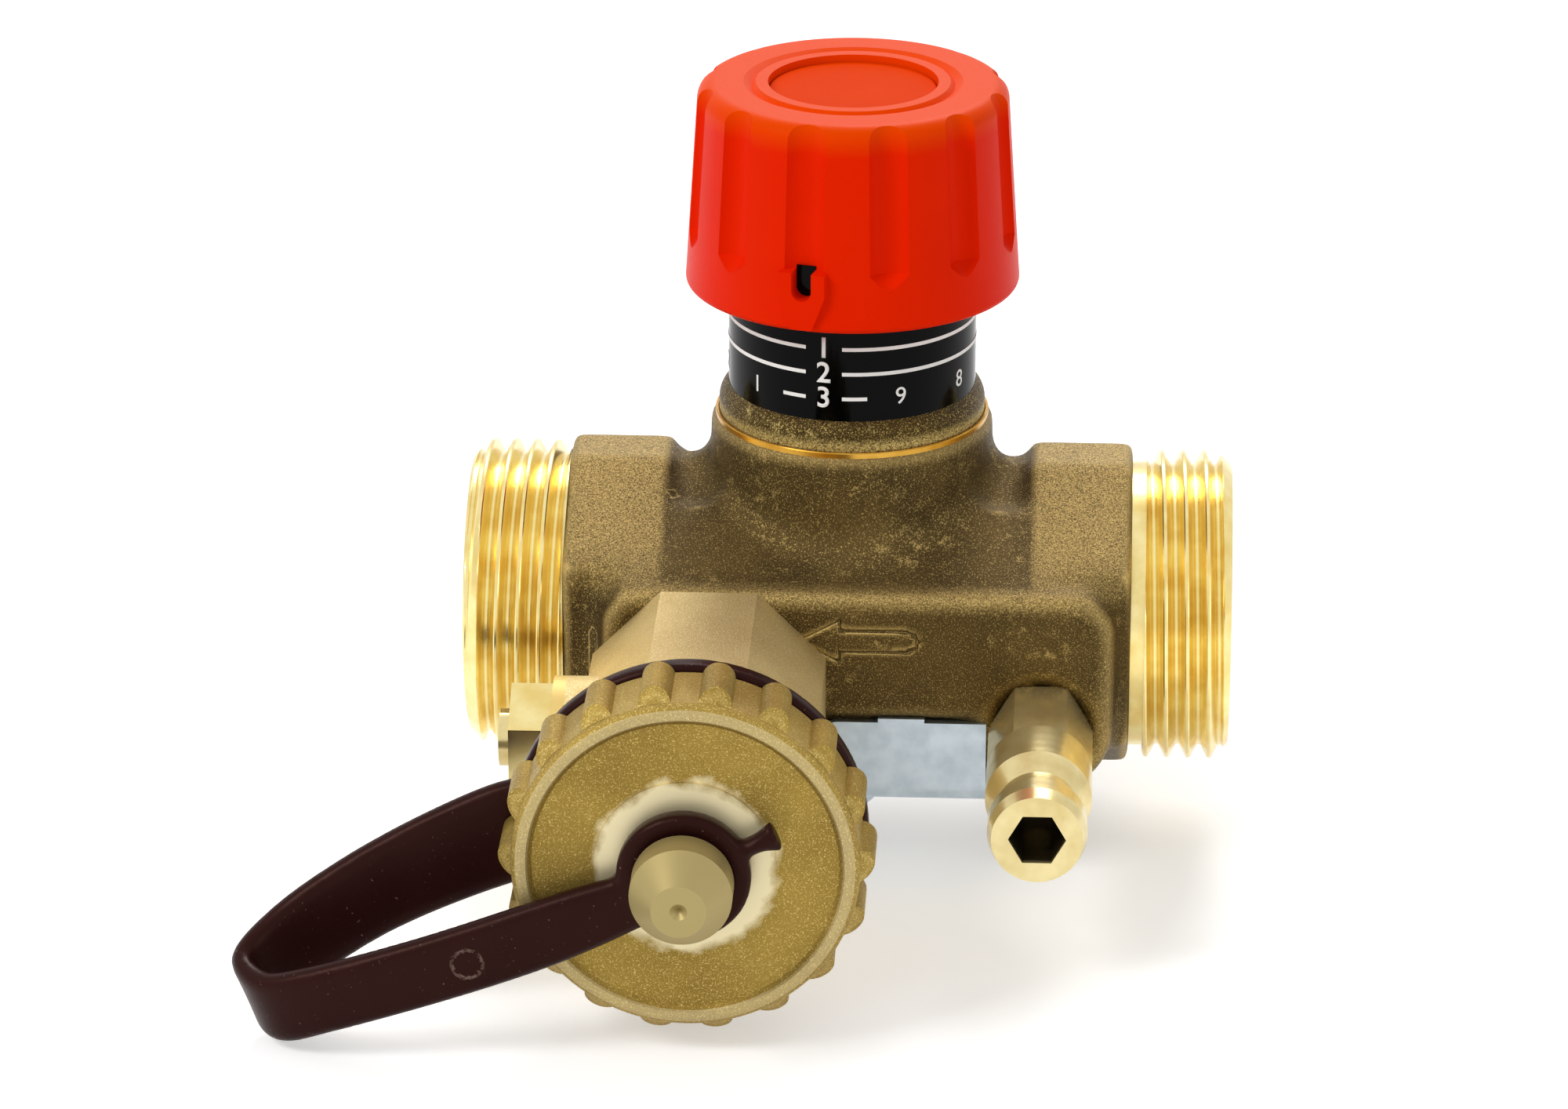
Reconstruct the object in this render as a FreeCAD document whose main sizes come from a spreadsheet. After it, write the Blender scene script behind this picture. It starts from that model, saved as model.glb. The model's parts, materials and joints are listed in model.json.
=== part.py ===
import FreeCAD, Part
import math
import os
import re
import Sketcher

# A straight balancing valve for a DN 15 pipe with G 3/4 A ends, in millimetres.
# X runs along the pipe, the front with the drain and the test nipple faces -Y, and Z is the spindle's axis.
# The origin is where the pipe's axis and the spindle's axis cross.

# Driving dimensions, written into the spreadsheet one by one.
SIZES = {
    # pipe ends
    "face_to_face": 65.0,
    "thread_radius": 13.2205,
    "thread_span": 7.3,
    "thread_chamfer": 1.3,
    "land_radius": 12.2,
    "land_width": 1.2,
    "bore_radius": 7.5,
    "bore_stop": 10.2,
    # forged body
    "barrel_radius": 12.2,
    "shoulder_flats": 26.4,
    "shoulder_top": 13.7,
    "shoulder_width": 8.7,
    "neck_radius": 12.0,
    "neck_top": 17.7,
    "neck_rim": 0.7,
    "neck_flare": 1.6,
    "neck_flare_height": 6.4,
    "neck_flare_round": 4.16,
    "pad_face": 16.5,
    "pad_top": 7.0,
    "pad_drop": 4.5,
    "pad_corner": 3.75,
    "pad_edge": 1.2,
    "drain_left": 11.3,
    "drain_drop": 2.8,
    "drain_boss": 9.2,
    "test_right": 16.6,
    "test_drop": 5.1,
    "test_boss": 6.1,
    # seat and chambers
    "seat_level": 1.0,
    "seat_wall": 2.0,
    "seat_bore": 5.6,
    "chamber_radius": 9.0,
    "well_radius": 7.4,
    "well_depth": 8.2,
    "well_round": 3.0,
    "passage_width": 11.0,
    "passage_height": 6.2,
    # bonnet
    "spigot_bottom": 11.9,
    "spigot_radius": 9.6,
    "flange_radius": 11.3,
    "flange_edge": 0.9,
    "flange_height": 2.5,
    "flange_dome": 2.0,
    "hub_radius": 8.0,
    "hub_top": 29.5,
    "hub_room": 0.35,
    "gland_width": 1.7,
    "gland_depth": 1.55,
    "gland_lower": 24.4,
    "gland_upper": 27.0,
    "static_gland": 14.2,
    "static_depth": 1.3,
    # spindle and cone
    "turns": 3.2,
    "pitch": 2.2,
    "spindle_radius": 4.0,
    "screw_radius": 5.0,
    "screw_stop": 24.0,
    "foot_radius": 3.0,
    "clip_depth": 0.6,
    "clip_width": 0.6,
    "clip_radius": 3.7,
    "clip_gap": 2.4,
    "square_flats": 5.5,
    "square_length": 3.4,
    "cone_radius": 7.6,
    "cone_plate": 2.0,
    "seal_height": 1.5,
    "seal_radius": 7.2,
    "skirt_radius": 5.3,
    "skirt_wall": 1.4,
    "skirt_length": 6.5,
    "skirt_taper": 0.9,
    # scale sleeve and handwheel
    "sleeve_radius": 10.5,
    "sleeve_wall": 1.2,
    "sleeve_foot": 4.3,
    "sleeve_top": 32.0,
    "wheel_bottom": 29.2,
    "wheel_top": 46.7,
    "wheel_radius": 14.1,
    "wheel_top_radius": 13.1,
    "wheel_rim_round": 0.5,
    "wheel_top_round": 1.5,
    "wheel_bore": 11.0,
    "wheel_roof": 4.6,
    "wheel_hub": 6.2,
    "ring_outer": 8.5,
    "ring_rise": 0.35,
    "insert_radius": 7.05,
    "insert_height": 1.5,
    "insert_depth": 0.6,
    "flutes": 12,
    "flute_radius": 1.9,
    "flute_reach": 0.8,
    "flute_floor": 34.2,
    "flute_runout": 1.6,
    "pointer_turn": 15.0,
    "pointer_tip": 0.9,
    "pointer_width": 4.0,
    "pointer_shoulder": 2.9,
    "pointer_length": 4.9,
    "pointer_start": 0.35,
    "pointer_depth": 1.6,
    "pointer_rise": 0.35,
    "pointer_slot": 1.7,
    "pointer_slot_start": 2.5,
    "pointer_slot_end": 5.2,
    "head_radius": 3.5,
    "head_height": 2.3,
    "screw_shank": 2.0,
    "screw_length": 9.5,
    "screw_key": 3.0,
    # drain cock
    "octagon_flats": 19.6,
    "octagon_end": 39.4,
    "port_radius": 7.0,
    "port_depth": 7.0,
    "port_hole": 3.0,
    "collar_radius": 12.2,
    "collar_width": 1.5,
    "throat_radius": 10.8,
    "throat_width": 2.5,
    "hose_end": 47.8,
    "hose_chamfer": 1.0,
    "hose_bore": 8.0,
    "hose_bore_depth": 10.3,
    "ball_place": 25.0,
    "ball_radius": 6.0,
    "ball_bore": 3.0,
    "ball_room": 0.55,
    "ball_seat_bore": 3.4,
    "ball_seat_face": 3.2,
    "ball_seat_back": 6.6,
    "ball_seat_land": 5.05,
    "retainer_length": 5.4,
    "retainer_key": 7.0,
    "branch_radius": 5.2,
    "branch_end": 12.4,
    "branch_bore": 3.5,
    "stem_radius": 2.4,
    "stem_collar": 3.1,
    "stem_collar_height": 1.4,
    "stem_end": 16.9,
    "stem_slot": 0.9,
    "stem_slot_depth": 1.0,
    "tang_width": 1.6,
    "tang_length": 2.0,
    "nut_flats": 8.5,
    "nut_end": 15.9,
    "nut_spigot": 1.3,
    # drain cap
    "cap_back": 43.5,
    "cap_skirt": 0.7295,
    "cap_face": 50.4,
    "cap_wall": 2.0,
    "cap_ridge": 0.45,
    "cap_round": 0.8,
    "lobes": 18,
    "lobe_radius": 1.35,
    "lobe_rise": 1.1,
    "lobe_end": 48.4,
    "boss_radius": 7.3,
    "boss_rise": 0.25,
    "pin_neck": 3.3,
    "pin_head_start": 53.2,
    "pin_radius": 4.1,
    "pin_cone": 56.0,
    "pin_flat": 2.2,
    "pin_end": 58.8,
    "centre_drill": 0.7,
    "gasket_height": 0.6,
    "gasket_width": 3.9205,
    # retaining strap
    "strap_ring": 14.4,
    "strap_thick": 2.0,
    "strap_lean": 21.0,
    "strap_root": 8.7,
    "strap_neck": 5.0,
    "strap_loop_ring": 5.4,
    "strap_tab": 7.6,
    "strap_tab_width": 2.4,
    # test nipple
    "nipple_thread": 3.6,
    "nipple_depth": 5.8,
    "nipple_flats": 7.6,
    "nipple_bar": 4.4,
    "nipple_hex_end": 25.3,
    "nipple_collar_end": 30.6,
    "nipple_groove": 3.4,
    "nipple_groove_start": 32.6,
    "nipple_groove_end": 33.8,
    "nipple_ring": 4.1,
    "nipple_ring_start": 35.3,
    "nipple_ring_end": 37.3,
    "nipple_nose": 3.75,
    "nipple_end": 38.6,
    "nipple_key": 4.1,
    "nipple_key_depth": 8.6,
    "nipple_throat": 1.3,
    "nipple_chamber": 2.3,
    "chamber_start": 13.0,
    "chamber_end": 24.0,
    "nipple_gland": 1.3,
    "port_sink": 0.8,
    "poppet_radius": 2.1,
    "poppet_height": 2.0,
    "poppet_stem": 1.1,
    "poppet_stem_length": 5.0,
    "spring_wire": 0.25,
    "spring_coil": 1.6,
    "spring_turns": 5,
    # lock plate
    "plate_thick": 1.1,
    "plate_left": 1.8,
    "plate_right": 12.0,
    "plate_bottom": 11.8,
    "plate_bend": 1.2,
    "plate_corner": 1.3,
    "plate_room": 0.4394,
    "plate_tab_left": 2.9,
    "plate_tab_width": 3.9,
    "plate_tab_rise": 0.35,
    "lug_radius": 4.0,
    "lug_back": 11.2,
    "dome_radius": 3.2,
    "dome_height": 2.0,
    "dome_round": 2.8,
    "bolt_radius": 1.5,
    "bolt_length": 6.0,
    # clearances
    "slip": 0.05,
    "seated": 0.04,
    "squeeze": 0.06,
}

# Places that follow from the sizes above.
HALF = "face_to_face / 2"
TRAVEL = "(turns * pitch)"
CONE_BASE = f"(seat_level + {TRAVEL} + slip + seal_height)"
CONE_TOP = f"({CONE_BASE} + cone_plate)"
FLANGE_TOP = "(neck_top + flange_height)"
HUB_UNDER = f"(hub_top + {TRAVEL} + hub_room)"
SQUARE_TOP = f"({HUB_UNDER} + square_length)"
INSERT_FLOOR = "(wheel_top - insert_depth - insert_height)"
HEAD_FLOOR = f"({INSERT_FLOOR} - head_height - slip)"
WHEEL_CEILING = f"({INSERT_FLOOR} - wheel_roof)"
CAP_INSIDE = "(cap_face - cap_wall)"
PLATE_BACK = "sqrt(barrel_radius^2 - (plate_bottom - plate_thick - plate_room)^2)"
CAP_BORE = "(thread_radius + slip)"
CAP_RADIUS = f"({CAP_BORE} + cap_skirt)"
LOBE_REACH = f"({CAP_RADIUS} + lobe_rise)"
GASKET_RADIUS = "(thread_radius - hose_chamfer)"
OCTAGON_START = "pad_face"
SPIGOT_DEPTH = "(pad_face - port_depth)"

# The strap's line from its large ring round the loop to its small ring, from the drain's axis:
# how far left, forward and down each point lies.
STRAP_LINE = (
    (11.6, 42.15, 0.1),
    (14.7, 42.2, 0.8),
    (20.7, 42.4, 3.4),
    (26.7, 42.9, 6.6),
    (31.9, 44.2, 10.0),
    (34.9, 47.0, 12.4),
    (33.3, 50.3, 13.0),
    (29.0, 51.8, 11.5),
    (20.7, 52.2, 8.7),
    (12.9, 52.0, 5.9),
    (7.7, 51.8, 3.8),
    (3.9, 51.7, 2.3),
)

UP = FreeCAD.Rotation()
FRONT = FreeCAD.Rotation(FreeCAD.Vector(1, 0, 0), 90)
LEFT = FreeCAD.Rotation(FreeCAD.Vector(0, 1, 0), -90)
RIGHT = FreeCAD.Rotation(FreeCAD.Vector(0, 1, 0), 90)
WIRE_SIDES = 8
DRAIN = ("-drain_left", "0", "-drain_drop")
TEST = ("test_right", "0", "-test_drop")
CENTRE = ("0", "0", "0")
BALL = ("-drain_left", "-ball_place", "-drain_drop")

doc = FreeCAD.newDocument("balancing_valve")
sheet = doc.addObject("Spreadsheet::Sheet", "Sizes")
nodes = []


def write_sheet():
    """Puts every driving dimension into its own cell and names the cell."""
    for row, (alias, value) in enumerate(SIZES.items(), start=1):
        sheet.set(f"A{row}", alias)
        sheet.set(f"B{row}", str(value))
        sheet.setAlias(f"B{row}", alias)
    doc.recompute()


def in_sheet(text):
    """Turns the names of sizes in a formula into references to the sheet."""
    def reference(word):
        name = word.group(0)
        return "Sizes." + name if name in SIZES else name

    return re.sub(r"[a-z_]+", reference, text)


def number(text):
    """The value of a formula of sizes, as a plain number."""
    return float(sheet.evalExpression(in_sheet(text)))


def bind(item, prop, text):
    item.setExpression(prop, in_sheet(text))


def place(item, turn, where):
    """Turns an object and binds its place to the sheet."""
    item.Placement = FreeCAD.Placement(FreeCAD.Vector(), turn)
    for axis, text in zip("xyz", where):
        bind(item, f".Placement.Base.{axis}", text)
    return item


def named(item, label):
    item.Label = label
    return item


def node(item, label):
    """Marks a finished piece of the valve."""
    nodes.append(named(item, label))
    return item


def arc_between(start, end, radius, side):
    """An arc from start to end with its centre on the left (1) or right (-1) of the way."""
    chord = end - start
    height = math.sqrt(max(radius ** 2 - (chord.Length / 2) ** 2, 0.0))
    normal = FreeCAD.Vector(-chord.y, chord.x, 0).normalize()
    centre = start + chord * 0.5 + normal * height * side
    first, last = (start, end) if side > 0 else (end, start)
    angles = [math.atan2(point.y - centre.y, point.x - centre.x) for point in (first, last)]
    return Part.ArcOfCircle(Part.Circle(centre, FreeCAD.Vector(0, 0, 1), radius), *angles)


def outline(body, plane, corners):
    """A closed sketch through corners, bound to the sheet.

    A corner is (x, y), or (x, y, radius, side) where an arc ends there.
    """
    sketch = body.newObject("Sketcher::SketchObject", body.Name + "_outline")
    origin_planes = [item for item in body.Origin.OriginFeatures if item.Role == plane]
    sketch.AttachmentSupport = [(origin_planes[0], "")]
    sketch.MapMode = "FlatFace"
    points = [FreeCAD.Vector(number(corner[0]), number(corner[1]), 0) for corner in corners]
    ends = []
    for index, corner in enumerate(corners):
        start = points[index - 1]
        end = points[index]
        if len(corner) == 4:
            sketch.addGeometry(arc_between(start, end, number(corner[2]), corner[3]))
            ends.append((1, 2) if corner[3] > 0 else (2, 1))
        else:
            sketch.addGeometry(Part.LineSegment(start, end))
            ends.append((1, 2))
    for index, corner in enumerate(corners):
        following = (index + 1) % len(corners)
        joint = (index, ends[index][1], following, ends[following][0])
        sketch.addConstraint(Sketcher.Constraint("Coincident", *joint))
    for index, corner in enumerate(corners):
        for kind, text in (("DistanceX", corner[0]), ("DistanceY", corner[1])):
            rule = Sketcher.Constraint(kind, -1, 1, index, ends[index][1], number(text))
            fixed = sketch.addConstraint(rule)
            bind(sketch, f"Constraints[{fixed}]", text)
        if len(corner) == 4:
            fixed = sketch.addConstraint(Sketcher.Constraint("Radius", index, number(corner[2])))
            bind(sketch, f"Constraints[{fixed}]", corner[2])
    return sketch


def turned(label, corners, turn=UP, where=CENTRE):
    """A turned piece: a profile of (radius, height) corners spun about its own Z axis."""
    body = doc.addObject("PartDesign::Body", label)
    sketch = outline(body, "XZ_Plane", corners)
    spin = body.newObject("PartDesign::Revolution", label + "_spin")
    spin.Profile = sketch
    spin.ReferenceAxis = (sketch, ["V_Axis"])
    spin.Angle = 360
    body.Tip = spin
    return named(place(body, turn, where), label)


def padded(label, plane, corners, length, turn=UP, where=CENTRE):
    """A piece of one thickness: a flat outline padded by a length."""
    body = doc.addObject("PartDesign::Body", label)
    sketch = outline(body, plane, corners)
    pad = body.newObject("PartDesign::Pad", label + "_pad")
    pad.Profile = sketch
    bind(pad, "Length", length)
    body.Tip = pad
    return named(place(body, turn, where), label)


def cylinder(label, radius, height, turn=UP, where=CENTRE):
    item = doc.addObject("Part::Cylinder", label)
    bind(item, "Radius", radius)
    bind(item, "Height", height)
    return place(item, turn, where)


def box(label, size, where):
    item = doc.addObject("Part::Box", label)
    for prop, text in zip(("Length", "Width", "Height"), size):
        bind(item, prop, text)
    return place(item, UP, where)


def prism(label, sides, flats, height, turn=UP, where=CENTRE):
    """A bar with flat sides, given by the distance across its flats."""
    item = doc.addObject("Part::Prism", label)
    item.Polygon = sides
    bind(item, "Circumradius", f"({flats}) / 2 / cos(180 deg / {sides})")
    bind(item, "Height", height)
    return place(item, turn, where)


def joined(label, pieces):
    item = doc.addObject("Part::MultiFuse", label)
    item.Shapes = pieces
    item.Refine = True
    return named(item, label)


def shared(label, pieces):
    item = doc.addObject("Part::MultiCommon", label)
    item.Shapes = pieces
    return named(item, label)


def cut(label, base, tools):
    item = doc.addObject("Part::Cut", label)
    item.Base = base
    item.Tool = tools[0] if len(tools) == 1 else joined(label + "_tools", tools)
    return named(item, label)


def rounded(label, base, radius, wanted):
    """Rounds the edges of a solid that a test picks out."""
    doc.recompute()
    item = doc.addObject("Part::Fillet", label)
    item.Base = base
    size = number(radius)
    item.Edges = [(index + 1, size, size) for index, edge in enumerate(base.Shape.Edges) if wanted(edge)]
    return named(item, label)


def o_ring(label, inner, outer, middle, turn=UP, where=CENTRE):
    """A rubber ring that fills its groove from the shaft to the floor, and keeps a little room."""
    ring = doc.addObject("Part::Torus", label)
    bind(ring, "Radius1", f"(({inner}) + ({outer})) / 2")
    bind(ring, "Radius2", f"(({outer}) - ({inner})) / 2 - squeeze / 2")
    step = turn.multVec(FreeCAD.Vector(0, 0, 1))
    spot = [f"{base} + ({middle}) * ({round(part)})" for base, part in zip(where, step)]
    return node(place(ring, turn, spot), label)


def copies_round(label, item, count, first, turn=UP, where=CENTRE):
    """Copies of one tool set evenly round an axis, joined into one."""
    set_of = []
    for index in range(count):
        link = doc.addObject("Part::Compound", f"{label}_{index}")
        link.Links = [item]
        angle = first + 360.0 * index / count
        spin = turn.multiply(FreeCAD.Rotation(FreeCAD.Vector(0, 0, 1), angle))
        set_of.append(place(link, spin, where))
    return set_of


def flat_edges(direction, level):
    """A test for edges that lie in a plane square to a direction."""
    def wanted(edge):
        spots = [vertex.Point for vertex in edge.Vertexes] + [edge.CenterOfMass]
        return all(abs(spot.dot(direction) - level) < 0.001 for spot in spots)
    return wanted


def pipe_ends():
    """The turned envelope of both pipe ends and the round barrel between them."""
    edge = f"({HALF} - thread_span - land_width)"
    tip = "thread_radius - thread_chamfer"
    return turned("pipe_envelope", [
        ("0", f"-{HALF}"),
        (tip, f"-{HALF}"),
        ("thread_radius", f"-{HALF} + thread_chamfer"),
        ("thread_radius", f"-{HALF} + thread_span"),
        ("land_radius", f"-{HALF} + thread_span"),
        ("land_radius", f"-{edge}"),
        ("barrel_radius", f"-{edge} + land_width"),
        ("barrel_radius", f"{edge} - land_width"),
        ("land_radius", edge),
        ("land_radius", f"{HALF} - thread_span"),
        ("thread_radius", f"{HALF} - thread_span"),
        ("thread_radius", f"{HALF} - thread_chamfer"),
        (tip, HALF),
        ("0", HALF),
    ], RIGHT)


def shoulder(label, start):
    """One six-sided shoulder for a spanner, cut off flat above and below."""
    bar = prism(label + "_hexagon", 6, "shoulder_flats", "shoulder_width", RIGHT, (start, "0", "0"))
    slab = box(label + "_slab", ("shoulder_width", "shoulder_flats", "2 * shoulder_top"),
               (start, "-shoulder_flats / 2", "-shoulder_top"))
    return shared(label, [bar, slab])


def front_pad():
    """The flat forged front that carries the drain cock, the nipple and the arrow."""
    width = "drain_left + drain_boss + test_right + test_boss"
    slab = box("pad_slab", (width, "pad_face", "pad_top + pad_drop"),
               ("-drain_left - drain_boss", "-pad_face", "-pad_drop"))
    corners = [("-drain_left - drain_boss", "pad_top"), ("test_right + test_boss", "pad_top")]
    spots = [(number(side), number(level)) for side, level in corners]

    def at_top_corner(edge):
        middle = edge.CenterOfMass
        return any(abs(middle.x - side) < 0.001 and abs(middle.z - level) < 0.001 for side, level in spots)

    slab = rounded("pad_rounded", slab, "pad_corner", at_top_corner)
    drain = cylinder("drain_boss_form", "drain_boss", "pad_face", FRONT, DRAIN)
    test = cylinder("test_boss_form", "test_boss", "pad_face", FRONT, TEST)
    whole = joined("pad_whole", [slab, drain, test])
    face = flat_edges(FreeCAD.Vector(0, -1, 0), number("pad_face"))
    return rounded("front_pad", whole, "pad_edge", face)


def body_neck():
    """The round neck, flared into the barrel and chamfered at its rim."""
    flare = "neck_top - neck_flare_height"
    return turned("body_neck", [
        ("0", "0"),
        ("neck_radius + neck_flare", "0"),
        ("neck_radius + neck_flare", f"{flare} - neck_flare * 2"),
        ("neck_radius", flare, "neck_flare_round", -1),
        ("neck_radius", "neck_top - neck_rim"),
        ("neck_radius - neck_rim", "neck_top"),
        ("0", "neck_top"),
    ])


def body_hollow():
    """The room for the bonnet, the upper chamber, the seat and the well below it."""
    under = "(seat_level - seat_wall)"
    return turned("body_hollow", [
        ("0", "-well_depth"),
        ("well_radius - well_round", "-well_depth"),
        ("well_radius", "-well_depth + well_round", "well_round", 1),
        ("well_radius", under),
        ("seat_bore", under),
        ("seat_bore", "seat_level"),
        ("chamber_radius", "seat_level"),
        ("chamber_radius", "spigot_bottom - slip"),
        ("spigot_radius", "spigot_bottom - slip"),
        ("spigot_radius", "neck_top"),
        ("0", "neck_top"),
    ])


def valve_body():
    """The forged brass body: one piece with its ends, neck, front pad, seat and ports."""
    edge = f"{HALF} - thread_span - land_width"
    lug = cylinder("plate_lug", "lug_radius", "plate_bottom - plate_thick", UP,
                   ("0", "-lug_back", "-plate_bottom + plate_thick"))
    outside = joined("body_outside", [
        pipe_ends(),
        shoulder("right_shoulder", f"{edge} - shoulder_width"),
        shoulder("left_shoulder", f"-{HALF} + thread_span + land_width"),
        body_neck(),
        front_pad(),
        lug,
    ])
    reach = f"{HALF} - bore_stop"
    inner = "(seat_level - seat_wall)"
    tools = [
        body_hollow(),
        cylinder("right_bore", "bore_radius", reach, RIGHT, ("bore_stop", "0", "0")),
        cylinder("left_bore", "bore_radius", reach, LEFT, ("-bore_stop", "0", "0")),
        box("lower_passage", ("bore_stop", "passage_width", "passage_height"),
            ("slip", "-passage_width / 2", f"{inner} - passage_height")),
        box("upper_passage", ("bore_stop", "passage_width", "passage_height"),
            ("-bore_stop - slip", "-passage_width / 2", "seat_level")),
        cylinder("drain_port", "port_radius + slip", "port_depth + slip", FRONT,
                 ("-drain_left", f"-{SPIGOT_DEPTH} + slip", "-drain_drop")),
        cylinder("drain_way", "port_hole", "pad_face - land_width", FRONT,
                 ("-drain_left - port_hole", "-bore_radius / 2", "-drain_drop")),
        cylinder("test_port", "nipple_thread + slip", "nipple_depth + slip", FRONT,
                 ("test_right", "-pad_face + nipple_depth + slip", "-test_drop")),
        cylinder("test_sink", "nipple_bar + 2 * slip", "port_sink", FRONT,
                 ("test_right", "-pad_face + port_sink", "-test_drop")),
        cylinder("test_way", "nipple_throat", "pad_face", FRONT,
                 ("test_right", "-bore_radius / 2", "-test_drop")),
        box("plate_recess", ("plate_left + plate_right + 2 * slip", "plate_thick + slip", "plate_bottom"),
            ("-plate_left - slip", "-pad_face", "-pad_drop - plate_bottom")),
        box("tab_recess",
            ("plate_tab_width + 2 * slip", "plate_thick + slip", "plate_tab_rise + plate_thick"),
            ("plate_tab_left - slip", "-pad_face", "-pad_drop - plate_thick")),
        cylinder("lug_hole", "bolt_radius + slip", "bolt_length", UP,
                 ("0", "-lug_back", "-plate_bottom + plate_thick")),
    ]
    node(cut("valve_body", outside, tools), "valve_body")


def bonnet():
    """The bonnet with its domed flange, hub, spindle bore and three seal grooves."""
    bore = "spindle_radius + slip"
    grooves = []
    for level in ("gland_upper", "gland_lower"):
        grooves += [
            (bore, f"{level} + gland_width"),
            (f"{bore} + gland_depth", f"{level} + gland_width"),
            (f"{bore} + gland_depth", level),
            (bore, level),
        ]
    node(turned("bonnet", [
        ("screw_radius + slip", "spigot_bottom"),
        ("spigot_radius - slip", "spigot_bottom"),
        ("spigot_radius - slip", "static_gland"),
        ("spigot_radius - static_depth", "static_gland"),
        ("spigot_radius - static_depth", "static_gland + gland_width"),
        ("spigot_radius - slip", "static_gland + gland_width"),
        ("spigot_radius - slip", "neck_top"),
        ("flange_radius", "neck_top"),
        ("flange_radius", "neck_top + flange_edge"),
        ("sleeve_radius", FLANGE_TOP, "flange_dome", 1),
        ("hub_radius", FLANGE_TOP),
        ("hub_radius", "hub_top"),
        (bore, "hub_top"),
        *grooves,
        (bore, "screw_stop"),
        ("screw_radius + slip", "screw_stop"),
    ]), "bonnet")
    middle = "static_gland + gland_width / 2"
    o_ring("bonnet_o_ring", "spigot_radius - static_depth", "spigot_radius", middle)
    for name, level in (("upper", "gland_upper"), ("lower", "gland_lower")):
        o_ring(f"spindle_o_ring_{name}", "spindle_radius", f"{bore} + gland_depth",
               f"{level} + gland_width / 2")


def spindle():
    """The threaded spindle: foot for the cone, screw, plain shaft and a square for the handwheel."""
    under = f"({CONE_BASE} - seated - clip_width)"
    shaft = turned("spindle_form", [
        ("0", f"{under} - clip_width * 2"),
        ("foot_radius", f"{under} - clip_width * 2"),
        ("foot_radius", under),
        ("foot_radius - clip_depth", under),
        ("foot_radius - clip_depth", f"{CONE_BASE} - seated / 2"),
        ("foot_radius", f"{CONE_BASE} - seated / 2"),
        ("foot_radius", f"{CONE_TOP} + slip"),
        ("screw_radius", f"{CONE_TOP} + slip"),
        ("screw_radius", "screw_stop - slip"),
        ("spindle_radius", "screw_stop - slip"),
        ("spindle_radius", HUB_UNDER),
        ("0", HUB_UNDER),
    ])
    square = prism("spindle_square", 4, "square_flats", f"square_length + {HUB_UNDER} - hub_top", UP,
                   ("0", "0", "hub_top"))
    hole = cylinder("spindle_hole", "screw_shank + slip", "screw_length", UP,
                    ("0", "0", f"{SQUARE_TOP} - screw_length"))
    node(cut("spindle", joined("spindle_whole", [shaft, square]), [hole]), "spindle")


def cone_set():
    """The valve cone with its throttling skirt, the seal under it and the clip that holds it."""
    foot = f"({CONE_BASE} - skirt_length)"
    inside = "(skirt_radius - skirt_wall)"
    node(turned("valve_cone", [
        ("foot_radius + slip", CONE_TOP),
        ("foot_radius + slip", CONE_BASE),
        (inside, CONE_BASE),
        (inside, foot),
        ("skirt_radius - skirt_taper", foot),
        ("skirt_radius", f"{CONE_BASE} - skirt_length / 2"),
        ("skirt_radius", CONE_BASE),
        ("cone_radius", CONE_BASE),
        ("cone_radius", CONE_TOP),
    ]), "valve_cone")
    node(turned("cone_seal", [
        ("skirt_radius + slip", f"{CONE_BASE} - seal_height"),
        ("seal_radius", f"{CONE_BASE} - seal_height"),
        ("seal_radius", CONE_BASE),
        ("skirt_radius + slip", CONE_BASE),
    ]), "cone_seal")
    ring = turned("clip_ring", [
        ("foot_radius - clip_depth + seated", f"{CONE_BASE} - clip_width"),
        ("clip_radius", f"{CONE_BASE} - clip_width"),
        ("clip_radius", f"{CONE_BASE} - seated"),
        ("foot_radius - clip_depth + seated", f"{CONE_BASE} - seated"),
    ])
    gap = box("clip_gap_tool", ("clip_gap", "clip_radius * 2", "clip_width * 2"),
              ("-clip_gap / 2", "0", f"{CONE_BASE} - clip_width * 1.5"))
    node(cut("cone_clip", ring, [gap]), "cone_clip")


def scale_sleeve():
    """The sleeve that carries the scale, pushed over the bonnet's hub."""
    inside = "sleeve_radius - sleeve_wall"
    node(turned("scale_sleeve", [
        ("hub_radius + slip", FLANGE_TOP),
        ("sleeve_radius", FLANGE_TOP),
        ("sleeve_radius", "sleeve_top"),
        (inside, "sleeve_top"),
        (inside, f"{FLANGE_TOP} + sleeve_foot"),
        ("hub_radius + slip", f"{FLANGE_TOP} + sleeve_foot"),
    ]), "scale_sleeve")


def wheel_pointer():
    """The pointer below one flute, a wedge that narrows down to the rim, and the slot at its upper end."""
    tilt = FreeCAD.Rotation(FreeCAD.Vector(0, 0, 1), -number("pointer_turn"))
    face = "(wheel_radius + pointer_rise - pointer_depth)"

    def at(out, level):
        return (f"-{out} * sin(pointer_turn * 1 deg)", f"-{out} * cos(pointer_turn * 1 deg)", level)

    wedge = padded("pointer_wedge", "XZ_Plane", [
        ("-pointer_tip", "0"),
        ("pointer_tip", "0"),
        ("pointer_width / 2", "pointer_shoulder"),
        ("pointer_width / 2", "pointer_length"),
        ("-pointer_width / 2", "pointer_length"),
        ("-pointer_width / 2", "pointer_shoulder"),
    ], "pointer_depth", tilt, at(face, "wheel_bottom + pointer_start"))
    half = "pointer_slot / 2"
    floor = "pointer_slot_start + pointer_slot / 2"
    slot = padded("pointer_slot_tool", "XZ_Plane", [
        (f"-{half}", floor),
        ("0", "pointer_slot_start", half, 1),
        (half, floor, half, 1),
        (half, "pointer_slot_end"),
        (f"-{half}", "pointer_slot_end"),
    ], "2 * pointer_depth", tilt, at(face, "wheel_bottom + pointer_start"))
    return wedge, slot


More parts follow.
